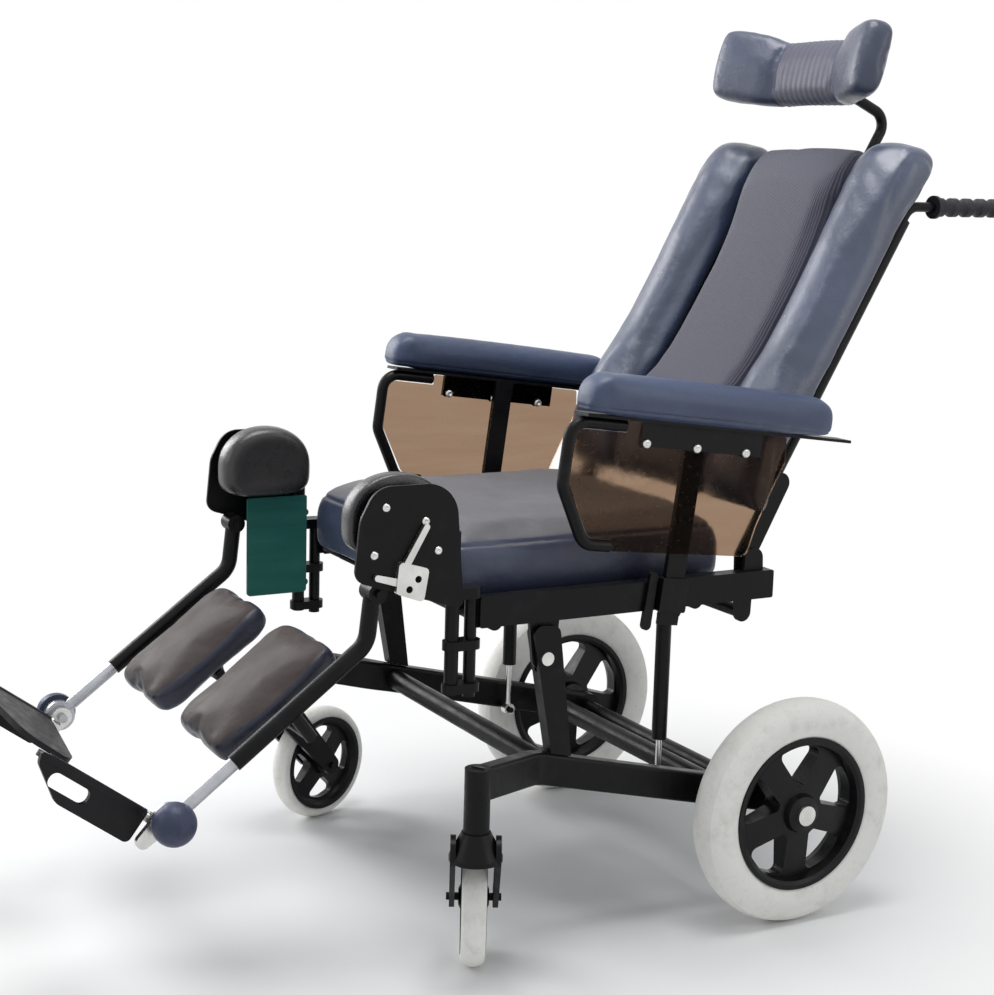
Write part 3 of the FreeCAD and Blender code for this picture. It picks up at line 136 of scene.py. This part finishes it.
def enamel(name, colour, worn, rough):
    """Powder coat: the worn colour shows where the clouds are thick."""
    item, tree, main, where = blank(name, Specular_IOR_Level=0.16)
    clouds = noise(tree, where, scale=22.0, detail=6.0, rough=0.6)
    patches = spread(tree, clouds, 0.0, 0.75, start=0.52, end=0.74)
    smears = noise(tree, where, scale=40.0, detail=5.0)
    peel = noise(tree, where, scale=420.0, detail=2.0)
    tree.links.new(blended(tree, patches, linear(*colour), linear(*worn)), main.inputs["Base Color"])
    tree.links.new(spread(tree, smears, rough - 0.07, rough + 0.12), main.inputs["Roughness"])
    bumps(tree, main, [(peel, 0.00025)])
    return item


def paint(slot, finish):
    """Every solid of one of the record's slots takes the finish."""
    for shape in NODES.values():
        for index, old in enumerate(shape.data.materials):
            if old.name.split(".")[0] == slot:
                shape.data.materials[index] = finish


paint("black_enamel", enamel("black enamel", (0.035, 0.036, 0.044), (0.10, 0.10, 0.115), 0.34))


# Wheels: solid pale tyres that leave no marks on a floor, pressed onto rims moulded in
# black nylon. The tyres are scuffed and carry grey dirt; the rims hold dust.

def tyre_rubber(name, colour, dirt):
    """Pale rubber, with the dirt's colour in its scuffs and, half as strong, in its pits."""
    item, tree, main, where = blank(name, Specular_IOR_Level=0.3)
    clouds = noise(tree, where, scale=38.0, detail=7.0, rough=0.7)
    scuffs = spread(tree, clouds, 0.0, 0.8, start=0.5, end=0.78)
    base = blended(tree, scuffs, linear(*colour), linear(*dirt))
    pits = spread(tree, noise(tree, where, scale=190.0, detail=2.0), 0.0, 0.5, start=0.6, end=0.8)
    tree.links.new(blended(tree, pits, base, linear(*dirt)), main.inputs["Base Color"])
    smears = noise(tree, where, scale=50.0, detail=4.0)
    tree.links.new(spread(tree, smears, 0.55, 0.75), main.inputs["Roughness"])
    bumps(tree, main, [(noise(tree, where, scale=130.0, detail=3.0), 0.0006)])
    return item


def plastic(name, colour, rough, grain=260.0):
    """Moulded plastic with a fine spark-eroded grain, half as bright again where dust lies."""
    item, tree, main, where = blank(name, Specular_IOR_Level=0.2)
    clouds = noise(tree, where, scale=14.0, detail=6.0, rough=0.65)
    dust = spread(tree, clouds, 0.0, 0.55, start=0.5, end=0.75)
    dusty = linear(*(min(1.0, c * 1.5 + 0.04) for c in colour))
    tree.links.new(blended(tree, dust, linear(*colour), dusty), main.inputs["Base Color"])
    smears = noise(tree, where, scale=60.0, detail=3.0)
    tree.links.new(spread(tree, smears, rough - 0.08, rough + 0.1), main.inputs["Roughness"])
    bumps(tree, main, [(noise(tree, where, scale=grain, detail=2.0), 0.0003)])
    return item


paint("tyre", tyre_rubber("pale tyre rubber", (0.94, 0.935, 0.915), (0.84, 0.83, 0.80)))
paint("rim_plastic", plastic("black rim plastic", (0.05, 0.05, 0.06), 0.36))


# Bright fittings: the springs' rods, the rear axles, the tilt pins, the release levers and
# the footplates' hinges are plated steel. The foot tubes are drawn aluminium, left bare.

def metal(name, colour, rough, brushed):
    """Bright metal with fine drawing marks, stretched 75 times along the given axis."""
    item, tree, main, where = blank(name, Metallic=1.0)
    scale = [900.0, 900.0, 900.0]
    scale["XYZ".index(brushed)] = 12.0
    stretched = add(tree, "Mapping", {"Vector": where, "Scale": scale}).outputs[0]
    marks = noise(tree, stretched, scale=1.0, detail=2.0)
    dull = spread(tree, noise(tree, where, scale=25.0, detail=5.0), 0.0, 0.6)
    base = blended(tree, dull, linear(*colour), linear(*(c * 0.78 for c in colour)))
    tree.links.new(base, main.inputs["Base Color"])
    tree.links.new(spread(tree, marks, rough - 0.08, rough + 0.1), main.inputs["Roughness"])
    bumps(tree, main, [(marks, 0.00008)])
    return item


bright_steel = metal("bright steel", (0.86, 0.86, 0.85), 0.28, "Z")
paint("bright_steel", bright_steel)
paint("bare_aluminium", metal("bare aluminium", (0.70, 0.71, 0.73), 0.30, "Y"))


# Grips, footplates and boards: ribbed rubber grips pushed onto the handles, footplates
# moulded in coarse black plastic, and the black boards under the seat and behind the back.

paint("grip_rubber", plastic("grip rubber", (0.17, 0.17, 0.19), 0.5, grain=500.0))
paint("plate_plastic", plastic("footplate plastic", (0.075, 0.075, 0.085), 0.42, grain=380.0))
paint("board_black", plastic("black board", (0.08, 0.08, 0.09), 0.5))


# Ankle knobs: a round grey-blue plastic knob at the end of each foot tube clamps the
# footplate's angle. It is one solid with its tube, so its faces are told by their place.

MIDDLE = 0.01856     # the chair's middle plane, beside the box's, because the casters stand turned
AXLE_Y = 0.314       # the rear axle, from which places along the chair are measured
SIDES = (("left", 1), ("right", -1))
ankle_out = 0.236
ankle_ahead = 0.87446
ankle_up = 0.25063
knob_reach = 0.046
knob_inner_face = 0.0078
knob = plastic("grey-blue knob plastic", (0.24, 0.26, 0.34), 0.4)
for side, sign in SIDES:
    mesh = NODES["foot_tube_" + side].data
    ankle = Vector((MIDDLE + sign * ankle_out, AXLE_Y - ankle_ahead, ankle_up))
    mesh.materials.append(knob)
    for face in mesh.polygons:
        beside = (face.center.x - ankle.x) * sign
        if (face.center - ankle).length < knob_reach and beside > knob_inner_face:
            face.material_index = 1


# Side sheets: the arm panels are clear amber sheet bolted inside the arm frames, and the
# sheet on the right leg support is solid green. Both are faintly streaked and scratched.

def tinted(name, colour, deep, clear):
    """Tinted sheet: streaks ten times as long as they are high, clear from 0 to 1."""
    item, tree, main, where = blank(name, IOR=1.12, Specular_IOR_Level=0.5, Transmission_Weight=clear)
    flattened = add(tree, "Mapping", {"Vector": where, "Scale": (6.0, 6.0, 60.0)}).outputs[0]
    streaks = spread(tree, noise(tree, flattened, scale=1.0, detail=4.0), 0.0, 0.7)
    tree.links.new(blended(tree, streaks, linear(*colour), linear(*deep)), main.inputs["Base Color"])
    scratches = noise(tree, where, scale=90.0, detail=5.0)
    tree.links.new(spread(tree, scratches, 0.12, 0.3), main.inputs["Roughness"])
    bumps(tree, main, [(noise(tree, where, scale=9.0, detail=2.0), 0.0012)])
    return item


paint("amber_panel", tinted("amber sheet", (0.61, 0.51, 0.425), (0.57, 0.465, 0.38), clear=1.0))
paint("green_panel", tinted("green sheet", (0.20, 0.42, 0.39), (0.15, 0.36, 0.335), clear=0.0))


# Seat cushion: a deep boxed foam cushion in vinyl, lying on the seat pan. Its top cloth is
# greyer than its border, and the seam between them runs round just under the top edge.

def vinyl(name, colour, worn, rough, gloss=0.35, panel=None):
    """Coated cloth: a leather grain, soft creases and a rubbed sheen. Where the attribute
    "panel" is 1 it is a duller woven cloth of the panel's colour, with brighter threads."""
    item, tree, main, where = blank(name, Specular_IOR_Level=0.3 + gloss, Coat_Weight=gloss,
                                    Coat_Roughness=0.24)
    grain = add(tree, "TexVoronoi", {"Vector": where, "Scale": 950.0}).outputs["Distance"]
    clouds = noise(tree, where, scale=7.0, detail=4.0)
    base = blended(tree, spread(tree, clouds, 0.0, 1.0), linear(*colour), linear(*worn))
    shine = spread(tree, noise(tree, where, scale=16.0, detail=4.0), rough - 0.06, rough + 0.08)
    if panel:
        mask = add(tree, "Attribute", attribute_name="panel").outputs["Fac"]
        weave = spread(tree, noise(tree, where, scale=1300.0, detail=1.0), 0.0, 1.0)
        cloth = blended(tree, weave, linear(*panel), linear(*(c * 1.22 for c in panel)))
        shaded = linear(*(c * 0.86 for c in panel))
        cloth = blended(tree, spread(tree, clouds, 0.0, 0.5), cloth, shaded)
        base = blended(tree, mask, base, cloth)
        duller = add(tree, "Math", {0: mask, 1: 0.36}, operation="MULTIPLY").outputs[0]
        shine = add(tree, "Math", {0: shine, 1: duller}, operation="ADD").outputs[0]
    tree.links.new(base, main.inputs["Base Color"])
    tree.links.new(shine, main.inputs["Roughness"])
    bumps(tree, main, [(noise(tree, where, scale=30.0, detail=3.0), 0.0016), (grain, 0.00022)])
    return item


def vertices(mesh):
    """The mesh's points, one row each."""
    places = np.empty(len(mesh.vertices) * 3)
    mesh.vertices.foreach_get("co", places)
    return places.reshape(-1, 3)


def normals(mesh):
    """The way each point of the mesh faces, one row each."""
    values = np.empty(len(mesh.vertices) * 3)
    mesh.vertex_normals.foreach_get("vector", values)
    return values.reshape(-1, 3)


def subdivided(obj):
    """A modifier that halves every edge once and rounds the surface."""
    modifier = obj.modifiers.new("finer", "SUBSURF")
    modifier.levels = 1
    return modifier


def settle(obj, modifier):
    """The object with its one modifier worked into the mesh."""
    view = bpy.context.evaluated_depsgraph_get()
    mesh = bpy.data.meshes.new_from_object(obj.evaluated_get(view))
    obj.modifiers.remove(modifier)
    obj.data = mesh


def eased(mesh, places, rounds):
    """Each round, every point moves halfway to the middle of its neighbours."""
    edges = np.empty(len(mesh.edges) * 2, int)
    mesh.edges.foreach_get("vertices", edges)
    first, second = edges.reshape(-1, 2).T
    count = np.bincount(first, minlength=len(places)) + np.bincount(second, minlength=len(places))
    for _ in range(rounds):
        total = np.zeros_like(places)
        for axis in range(3):
            total[:, axis] = np.bincount(first, places[second, axis], len(places))
            total[:, axis] += np.bincount(second, places[first, axis], len(places))
        places = places * 0.5 + total / count[:, None] * 0.5
    return places


def swollen(obj, pressure):
    """Where cloth pressure takes each point in twenty frames, with no weight and no contact."""
    frames = 20
    cloth = obj.modifiers.new("cover", "CLOTH")
    settings = cloth.settings
    settings.quality = 4
    settings.mass = 0.25
    settings.tension_stiffness = 18
    settings.compression_stiffness = 18
    settings.shear_stiffness = 8
    settings.bending_stiffness = 0.6
    settings.use_pressure = True
    settings.uniform_pressure_force = pressure
    settings.effector_weights.gravity = 0
    cloth.collision_settings.use_collision = False
    cloth.point_cache.frame_end = frames
    for step in range(1, frames + 1):
        scene.frame_set(step)
    view = bpy.context.evaluated_depsgraph_get()
    moved = vertices(obj.evaluated_get(view).data)
    obj.modifiers.remove(cloth)
    scene.frame_set(1)
    return moved


def stuffed(node, voxel, cap, pressure, finish, rounds=4):
    """A padded piece in its solid's place, on the same body. The solid's skin is remeshed, eased,
    drawn in by a third of the cap, moved by the cap at most, and kept within 5 mm of its box."""
    drawn_in = 0.35
    proud = 0.005
    source = NODES[node]
    obj = bpy.data.objects.new(node + "_cover", source.data.copy())
    scene.collection.objects.link(obj)
    remesh = obj.modifiers.new("skin", "REMESH")
    remesh.mode = "VOXEL"
    remesh.voxel_size = voxel
    settle(obj, remesh)
    mesh = obj.data
    start = eased(mesh, vertices(mesh), rounds)
    low, high = (np.array(corner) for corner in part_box(node))
    mesh.vertices.foreach_set("co", (start - normals(mesh) * cap * drawn_in).ravel())
    mesh.update()
    step = swollen(obj, pressure) - start
    length = np.linalg.norm(step, axis=1, keepdims=True)
    start = start + step * np.minimum(1.0, cap / np.maximum(length, 1e-9))
    start = np.clip(start, low - proud, high + proud)
    mesh.vertices.foreach_set("co", eased(mesh, start, 3).ravel())
    mesh.update()
    mesh.shade_smooth()
    settle(obj, subdivided(obj))
    obj.data.materials.clear()
    obj.data.materials.append(finish)
    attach(obj, source["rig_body"])
    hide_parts(node)
    return obj


def sewn(obj, height):
    """The cover moved along its normals by a field worked out from its points and normals."""
    mesh = obj.data
    places = vertices(mesh)
    facing = normals(mesh)
    mesh.vertices.foreach_set("co", (places + facing * height(places, facing)[:, None]).ravel())
    mesh.update()


def panelled(obj, share):
    """How far each point belongs to the second cloth, from 0 to 1."""
    mesh = obj.data
    values = np.clip(share(vertices(mesh), normals(mesh)), 0.0, 1.0)
    mesh.attributes.new("panel", "FLOAT", "POINT").data.foreach_set("value", values)


def line(distance, width):
    """A narrow trough, 1 deep in its middle, that fades as a bell curve of the width."""
    return np.exp(-(distance / width) ** 2)


seat_vinyl = vinyl("seat vinyl", (0.20, 0.23, 0.32), (0.26, 0.29, 0.38), 0.42, gloss=0.15,
                   panel=(0.36, 0.36, 0.375))
seat = stuffed("seat_cushion", voxel=0.006, cap=0.009, pressure=3.0, finish=seat_vinyl)
seat_low, seat_high = (np.array(corner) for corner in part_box("seat_cushion"))
seat_seam = seat_high[2] - 0.026
hollow_y = 0.24      # the dished place's middle, behind the front edge
hollow_reach = 0.13
hollow_depth = 0.006


def seat_form(at, facing):
    """A seam round the sides, a dished top, and ripples near the rear edge."""
    seam = line(at[:, 2] - seat_seam, 0.0022) * (np.abs(facing[:, 2]) < 0.75) * -0.0018
    away = np.hypot((at[:, 0] - MIDDLE) / 1.2, at[:, 1] - seat_low[1] - hollow_y)
    dip = line(away, hollow_reach) * (facing[:, 2] > 0.5) * -hollow_depth
    ripples = np.sin(at[:, 0] * 90 + np.sin(at[:, 1] * 31) * 2.2)
    creases = ripples * line(at[:, 1] - seat_high[1] + 0.03, 0.05)
    return seam + dip + creases * 0.0007


sewn(seat, seat_form)
panelled(seat, lambda at, facing: (facing[:, 2] - 0.62) * 9)


# Back: a centre panel of ribbed cloth lies sunk between two fat vinyl bolsters, all three
# fixed to the board behind. The bolsters crease at the shoulders and the lumbar swell.

def ribbed(name, colour, bright):
    """Hard-wearing woven cloth: upright ribs about 3 mm apart, with a painted highlight along the top of
    each rib and painted shade in the grooves between them, under fine threads and broad clouds of wear."""
    item, tree, main, where = blank(name, Sheen_Weight=0.25, Sheen_Roughness=0.5,
                                    Specular_IOR_Level=0.3)
    ribs = add(tree, "TexWave", {"Vector": where, "Scale": 105.0, "Distortion": 0.35, "Detail": 1.0,
                                 "Detail Scale": 6.0}, bands_direction="X").outputs["Fac"]
    threads = noise(tree, where, scale=1500.0, detail=1.0)
    wear = noise(tree, where, scale=5.0, detail=4.0)
    # Painted highlight and shade: the top of each rib takes the lighter colour and the grooves keep the
    # darker one.
    highlit_rib_tops = spread(tree, ribs, 0.0, 1.0, start=0.1, end=0.9)
    base = blended(tree, highlit_rib_tops, linear(*colour), linear(*bright))
    base = blended(tree, spread(tree, threads, 0.0, 0.45), base, linear(*(c * 0.7 for c in colour)))
    base = blended(tree, spread(tree, wear, 0.0, 0.4), base, linear(*(c * 0.85 for c in bright)))
    tree.links.new(base, main.inputs["Base Color"])
    tree.links.new(spread(tree, threads, 0.62, 0.82), main.inputs["Roughness"])
    bumps(tree, main, [(ribs, 0.0006), (threads, 0.0002)])
    return item


# The second colour is both the painted highlight on the rib tops and the paler colour of worn cloth.
rib_cloth = ribbed("ribbed centre cloth", (0.25, 0.25, 0.31), (0.33, 0.33, 0.39))
navy = vinyl("navy vinyl", (0.185, 0.22, 0.31), (0.25, 0.29, 0.39), 0.30)
paint("ribbed_fabric", rib_cloth)
paint("navy_vinyl", navy)

lean = math.radians(30)
centre_seam = 0.108      # from the middle plane
border_seam = 0.236
centre = stuffed("back_cushion", voxel=0.006, cap=0.009, pressure=3.0, finish=rib_cloth)
sewn(centre, lambda at, facing: line(np.abs(at[:, 0] - MIDDLE) - centre_seam, 0.004) * -0.002)
back_foot = np.array(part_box("back_cushion")[0])


def up_the_back(at):
    """The distance along the leaning back from its foot."""
    return (at[:, 2] - back_foot[2]) * math.cos(lean) + (at[:, 1] - back_foot[1]) * math.sin(lean)


wrap_from = 0.2215       # where the bolster's outer side starts to turn back round the shell
wrap_run = 0.016
wrap_thick = 0.06
wrap_back = 0.016
for side, sign in SIDES:
    bolster = stuffed("back_bolster_" + side, voxel=0.0055, cap=0.014, pressure=4.5,
                      finish=navy, rounds=5)

    def bolster_form(at, facing, sign=sign):
        """A border seam, slanting creases that fade in towards the top, and finer ones at the waist."""
        up = up_the_back(at)
        out = (at[:, 0] - MIDDLE) * sign
        border = line(out - border_seam, 0.003) * -0.0016
        top = np.clip((up - 0.40) / 0.18, 0, 1) * np.clip((0.60 - up) / 0.06, 0, 1)
        creases = np.sin(up * 150 + out * 46 + np.sin(out * 60) * 1.4) * top * 0.0006
        waist = np.sin(up * 95 - out * 70) * line(up - 0.20, 0.07) * 0.0004
        return border + (creases + waist) * (np.abs(facing[:, 0]) < 0.92)

    sewn(bolster, bolster_form)
    places = vertices(bolster.data)
    ahead = places @ np.array([0.0, -math.cos(lean), math.sin(lean)])
    wrap = np.clip(((places[:, 0] - MIDDLE) * sign - wrap_from) / wrap_run, 0, 1)
    wrap *= np.clip(1.2 - (ahead - ahead.min()) / wrap_thick, 0, 1) * wrap_back
    places[:, 1] += wrap * math.cos(lean)
    places[:, 2] -= wrap * math.sin(lean)
    bolster.data.vertices.foreach_set("co", places.ravel())


# Head cushion: one foam pad with two forward wings, on the bent stem. Its middle third is
# ribbed cloth, set between two upright seams.

head_seam = 0.070
head_cloth = 0.0695
head_ribs = 0.064
navy_head = vinyl("navy vinyl with a cloth middle", (0.17, 0.20, 0.28), (0.24, 0.27, 0.36), 0.30,
                  gloss=0.2, panel=(0.27, 0.27, 0.33))
head = stuffed("head_cushion", voxel=0.0045, cap=0.006, pressure=2.5, finish=navy_head,
               rounds=6)


def head_form(at, facing):
    """Two seams, ribs 12 mm apart between them, and slanting creases where the wings turn."""
    across = np.abs(at[:, 0] - MIDDLE)
    seams = line(across - head_seam, 0.0035) * -0.0018
    ribs = np.sin(at[:, 0] * 520) * (across < head_ribs) * 0.0004
    creases = np.sin(at[:, 2] * 120 + at[:, 0] * 40) * line(across - 0.10, 0.03) * 0.0008
    return seams + ribs + creases


sewn(head, head_form)
panelled(head, lambda at, facing: (head_cloth - np.abs(at[:, 0] - MIDDLE)) * 900)


# Arm pads: long foam pads in slate vinyl, screwed to the arm frames' top strips, which
# slope down to the rear. They have a rolled edge and a lap seam low on their sides.

arm_slope = math.radians(7.27)
lap_seam = 0.019         # below the pad's middle
slate = vinyl("slate arm vinyl", (0.19, 0.235, 0.34), (0.25, 0.30, 0.41), 0.42, gloss=0.12)
paint("slate_vinyl", slate)
for side, _ in SIDES:
    pad = stuffed("arm_pad_" + side, voxel=0.0045, cap=0.005, pressure=2.5, finish=slate,
                  rounds=2)
    pad_low, pad_high = (np.array(corner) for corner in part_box("arm_pad_" + side))
    middle_y = (pad_low[1] + pad_high[1]) / 2
    middle_z = (pad_low[2] + pad_high[2]) / 2

    def pad_form(at, facing, middle_y=middle_y, middle_z=middle_z):
        """A seam level with the sloping pad on its sides, and creases near its front."""
        level = at[:, 2] - middle_z + (at[:, 1] - middle_y) * math.tan(arm_slope)
        seam = line(level + lap_seam, 0.0018) * (np.abs(facing[:, 2]) < 0.8) * -0.0013
        creases = np.sin(at[:, 1] * 140 + at[:, 2] * 60) * line(at[:, 1] - middle_y + 0.17, 0.03)
        return seam + creases * 0.0006

    sewn(pad, pad_form)


# Calf pads: oval foam pads in vinyl that turn on the leg tubes. The face that the calf
# rests on is flat and brown, and the border round it is navy.

calf_slope = math.radians(37)
calf_outward = np.array([0.0, -math.sin(calf_slope), math.cos(calf_slope)])
navy_calf = vinyl("navy vinyl with a brown face", (0.10, 0.11, 0.16), (0.17, 0.18, 0.25), 0.30,
                  gloss=0.08, panel=(0.165, 0.125, 0.12))
for side, _ in SIDES:
    calf = stuffed("calf_pad_" + side, voxel=0.0045, cap=0.009, pressure=3.5,
                   finish=navy_calf, rounds=9)
    panelled(calf, lambda at, facing: (facing @ calf_outward - 0.72) * 14)


# Knee pads: black vinyl domes on the hangers' plates, round over the top and straight
# below, with a rolled rim and a dished inner face.

knee_vinyl = vinyl("black knee vinyl", (0.03, 0.03, 0.045), (0.065, 0.065, 0.085), 0.26, gloss=0.25)
knee_out = 0.229         # the plate's inner face, from the middle plane
knee_deep = 0.0385
knee_widest = 0.42       # share of the height at which the dome is widest
knee_steps = 96
knee_profile = [(0.0, 0.0), (0.90, 0.0), (0.965, 0.03), (1.0, 0.14), (1.0, 0.45), (0.985, 0.72),
                (0.93, 0.90), (0.84, 0.985), (0.72, 1.0), (0.50, 0.97), (0.25, 0.955), (0.0, 0.95)]


def knee_dome(side, sign):
    """Rings from the board's face over the rolled rim to the middle of the inner face. The
    outline is a superellipse: nearly round above its widest place and squarer below it."""
    low, high = (np.array(corner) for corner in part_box("knee_pad_" + side))
    middle = (low[1] + high[1]) / 2
    half = (high[1] - low[1]) / 2
    tall = high[2] - low[2]
    turn = np.linspace(0, 2 * math.pi, knee_steps, endpoint=False)
    above = np.sin(turn) > 0
    below_span = np.sign(np.cos(turn)) * np.abs(np.cos(turn)) ** 0.62
    span = np.where(above, np.abs(np.cos(turn)) ** 0.95 * np.sign(np.cos(turn)), below_span)
    rise = np.where(above, np.sin(turn) ** 0.92, -np.abs(np.sin(turn)) ** 0.45)
    lift = np.where(rise > 0, tall * (1 - knee_widest) * rise, tall * knee_widest * rise)
    corners = []
    for share, depth in knee_profile:
        y = middle + half * share * span
        z = low[2] + tall * knee_widest + share * lift
        x = np.full(knee_steps, MIDDLE + sign * knee_out - sign * knee_deep * depth)
        corners += list(zip(x, y, z))
    faces = []
    for ring in range(len(knee_profile) - 1):
        for k in range(knee_steps):
            a = ring * knee_steps
            b = (k + 1) % knee_steps
            faces.append((a + k, a + b, a + knee_steps + b, a + knee_steps + k)[::sign])
    mesh = bpy.data.meshes.new("knee_pad_" + side + "_cover")
    mesh.from_pydata(corners, [], faces)
    mesh.shade_smooth()
    obj = bpy.data.objects.new(mesh.name, mesh)
    scene.collection.objects.link(obj)
    settle(obj, subdivided(obj))
    obj.data.materials.append(knee_vinyl)
    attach(obj, NODES["knee_pad_" + side]["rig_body"])
    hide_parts("knee_pad_" + side)


for side, sign in SIDES:
    knee_dome(side, sign)


# Fasteners: domed plated screws with a hexagon socket. Three hold each arm strip, seen
# from outside and inside, and four hold each knee pad to its plate.

head_rings = [(1.0, 0.0), (0.97, 0.22), (0.80, 0.42), (0.56, 0.52), (0.42, 0.53), (0.40, 0.24),
              (0.0, 0.22)]
head_steps = 24


def screw_heads(name, places, outward, radius, body):
    """Domed socket heads standing on a surface, as one piece. Reach and height are shares of
    the radius, and inside the rim the rings swell and shrink six times to make the socket."""
    corners = []
    faces = []
    axis = Vector(outward).normalized()
    side = axis.orthogonal().normalized()
    other = axis.cross(side)
    for place in places:
        for reach, height in head_rings:
            for k in range(head_steps):
                turn = 2 * math.pi * k / head_steps
                hexed = 1.0 if reach > 0.41 else 0.9 + 0.1 * math.cos(6 * turn)
                spot = side * math.cos(turn) + other * math.sin(turn)
                corners.append(Vector(place) + spot * radius * reach * hexed + axis * radius * height)
        first = len(corners) - head_steps * len(head_rings)
        for ring in range(len(head_rings) - 1):
            for k in range(head_steps):
                a = first + ring * head_steps
                b = (k + 1) % head_steps
                faces.append((a + k, a + b, a + head_steps + b, a + head_steps + k))
    mesh = bpy.data.meshes.new(name)
    mesh.from_pydata(corners, [], faces)
    mesh.shade_smooth()
    mesh.materials.append(bright_steel)
    obj = bpy.data.objects.new(name, mesh)
    scene.collection.objects.link(obj)
    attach(obj, body)


arm_y = 0.152            # the point from which the sloping arm is measured
arm_z = 0.6735
strip_outside = 0.2798
strip_inside = 0.2701
plate_outside = 0.2581
arm_screw_radius = 0.0065
knee_screw_radius = 0.0055


def on_arm(along, over):
    """A place along and over the sloping arm, turned into the chair's own Y and Z."""
    return (arm_y + along * math.cos(arm_slope) + over * math.sin(arm_slope),
            arm_z - along * math.sin(arm_slope) + over * math.cos(arm_slope))


strip_screws = [on_arm(along, -0.006) for along in (-0.088, -0.008, 0.072)]
knee_screws_mm = ((-609, 614), (-555, 594), (-537, 556), (-624, 556))    # from the rear axle and the floor
for side, sign in SIDES:
    arm_body = NODES["arm_frame_" + side]["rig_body"]
    outer = [(MIDDLE + sign * strip_outside, y, z) for y, z in strip_screws]
    inner = [(MIDDLE + sign * strip_inside, y, z) for y, z in strip_screws]
    plate = [(MIDDLE + sign * plate_outside, y / 1000 + AXLE_Y, z / 1000) for y, z in knee_screws_mm]
    screw_heads("arm_screws_" + side, outer, (sign, 0, 0), arm_screw_radius, arm_body)
    screw_heads("arm_screws_inside_" + side, inner, (-sign, 0, 0), arm_screw_radius, arm_body)
    screw_heads("knee_screws_" + side, plate, (sign, 0, 0), knee_screw_radius,
                NODES["hanger_" + side]["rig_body"])


# Floor and backdrop: a pale sheet that keeps the chair's shadow and fades to white a metre
# away from it, under a sky that is white to the camera and soft grey to the chair.

def seen_directly(tree):
    """1 for rays from the camera, off a gloss or through a clear sheet, and otherwise 0."""
    path = add(tree, "LightPath")
    seen = path.outputs["Is Camera Ray"]
    for kind in ("Is Glossy Ray", "Is Transmission Ray"):
        seen = add(tree, "Math", {0: seen, 1: path.outputs[kind]}, operation="MAXIMUM").outputs[0]
    return seen


def pale_floor():
    """A matt grey that turns to plain white with the distance from the frame's middle."""
    item = bpy.data.materials.new("pale floor")
    item.use_nodes = True
    tree = item.node_tree
    tree.nodes.clear()
    matt = add(tree, "BsdfDiffuse", {"Color": (0.84, 0.84, 0.84, 1.0)})
    plain = add(tree, "Emission", {"Color": (1.0, 1.0, 1.0, 1.0), "Strength": 1.0})
    where = add(tree, "TexCoord").outputs["Object"]
    away = add(tree, "VectorMath", {0: where}, operation="LENGTH").outputs["Value"]
    pale = spread(tree, away, 0.0, 1.0, start=0.45, end=1.05)
    share = add(tree, "Math", {0: pale, 1: seen_directly(tree)}, operation="MULTIPLY").outputs[0]
    mixed = add(tree, "MixShader", {0: share, 1: matt.outputs[0], 2: plain.outputs[0]})
    tree.links.new(mixed.outputs[0], add(tree, "OutputMaterial").inputs["Surface"])
    return item


reach = 30
ground = bpy.data.meshes.new("floor")
ground.from_pydata([(-reach, -reach, 0), (reach, -reach, 0), (reach, reach, 0), (-reach, reach, 0)],
                   [], [(0, 1, 2, 3)])
floor = bpy.data.objects.new("floor", ground)
scene.collection.objects.link(floor)
ground.materials.append(pale_floor())

world = bpy.data.worlds.new("studio")
scene.world = world
world.use_nodes = True
tree = world.node_tree
tree.nodes.clear()
soft = add(tree, "Background", {"Color": (0.93, 0.96, 1.0, 1.0), "Strength": 0.36})
white = add(tree, "Background", {"Color": (1.0, 1.0, 1.0, 1.0), "Strength": 1.0})
mixed = add(tree, "MixShader", {0: seen_directly(tree), 1: soft.outputs[0], 2: white.outputs[0]})
tree.links.new(mixed.outputs[0], add(tree, "OutputWorld").inputs["Surface"])


# Lamps: four soft boxes, a large one overhead for the shadow and three round the chair
# for the sheen on its bolsters, its rims and its tubes.

def lamp(name, place, aim, size, power):
    """A rectangular softbox at its place, turned to look at its aim."""
    data = bpy.data.lights.new(name, "AREA")
    data.shape = "RECTANGLE"
    data.size, data.size_y = size
    data.energy = power
    obj = bpy.data.objects.new(name, data)
    obj.location = place
    obj.rotation_euler = (Vector(aim) - Vector(place)).to_track_quat("-Z", "Y").to_euler()
    scene.collection.objects.link(obj)


lamp("top softbox", place=(0.2, -0.1, 2.9), aim=(0, 0, 0.5), size=(1.4, 1.4), power=50)
lamp("side softbox", place=(2.3, 1.5, 1.6), aim=(0, 0.1, 0.8), size=(0.7, 1.9), power=10)
lamp("far softbox", place=(-2.5, -1.2, 1.75), aim=(0, 0.1, 0.8), size=(1.1, 1.9), power=50)
lamp("front softbox", place=(-0.6, -2.9, 1.7), aim=(0, -0.1, 0.6), size=(1.2, 1.4), power=14)


# Camera: it stands where the photograph's stood, found from the wheels' rims, the floor's
# contacts and the frame's corners, and is rolled a little as that one was.

azimuth = math.radians(60.7512)
elevation = math.radians(10.0296)
roll = math.radians(1.5998)
camera_place = (2.23426 + MIDDLE, -1.24878, 1.01789)
back = Vector((math.sin(azimuth) * math.cos(elevation),
               -math.cos(azimuth) * math.cos(elevation),
               math.sin(elevation)))
right = Vector((math.cos(azimuth), math.sin(azimuth), 0))
up = back.cross(right)
across = right * math.cos(roll) + up * math.sin(roll)
upward = up * math.cos(roll) - right * math.sin(roll)
lens = bpy.data.cameras.new("camera")
lens.lens = 66.69
lens.sensor_width = 36
lens.clip_end = 200
camera = bpy.data.objects.new("camera", lens)
scene.collection.objects.link(camera)
turned = Matrix((across, upward, back)).transposed().to_4x4()
camera.matrix_world = Matrix.Translation(camera_place) @ turned
scene.camera = camera
scene.view_settings.view_transform = "Standard"
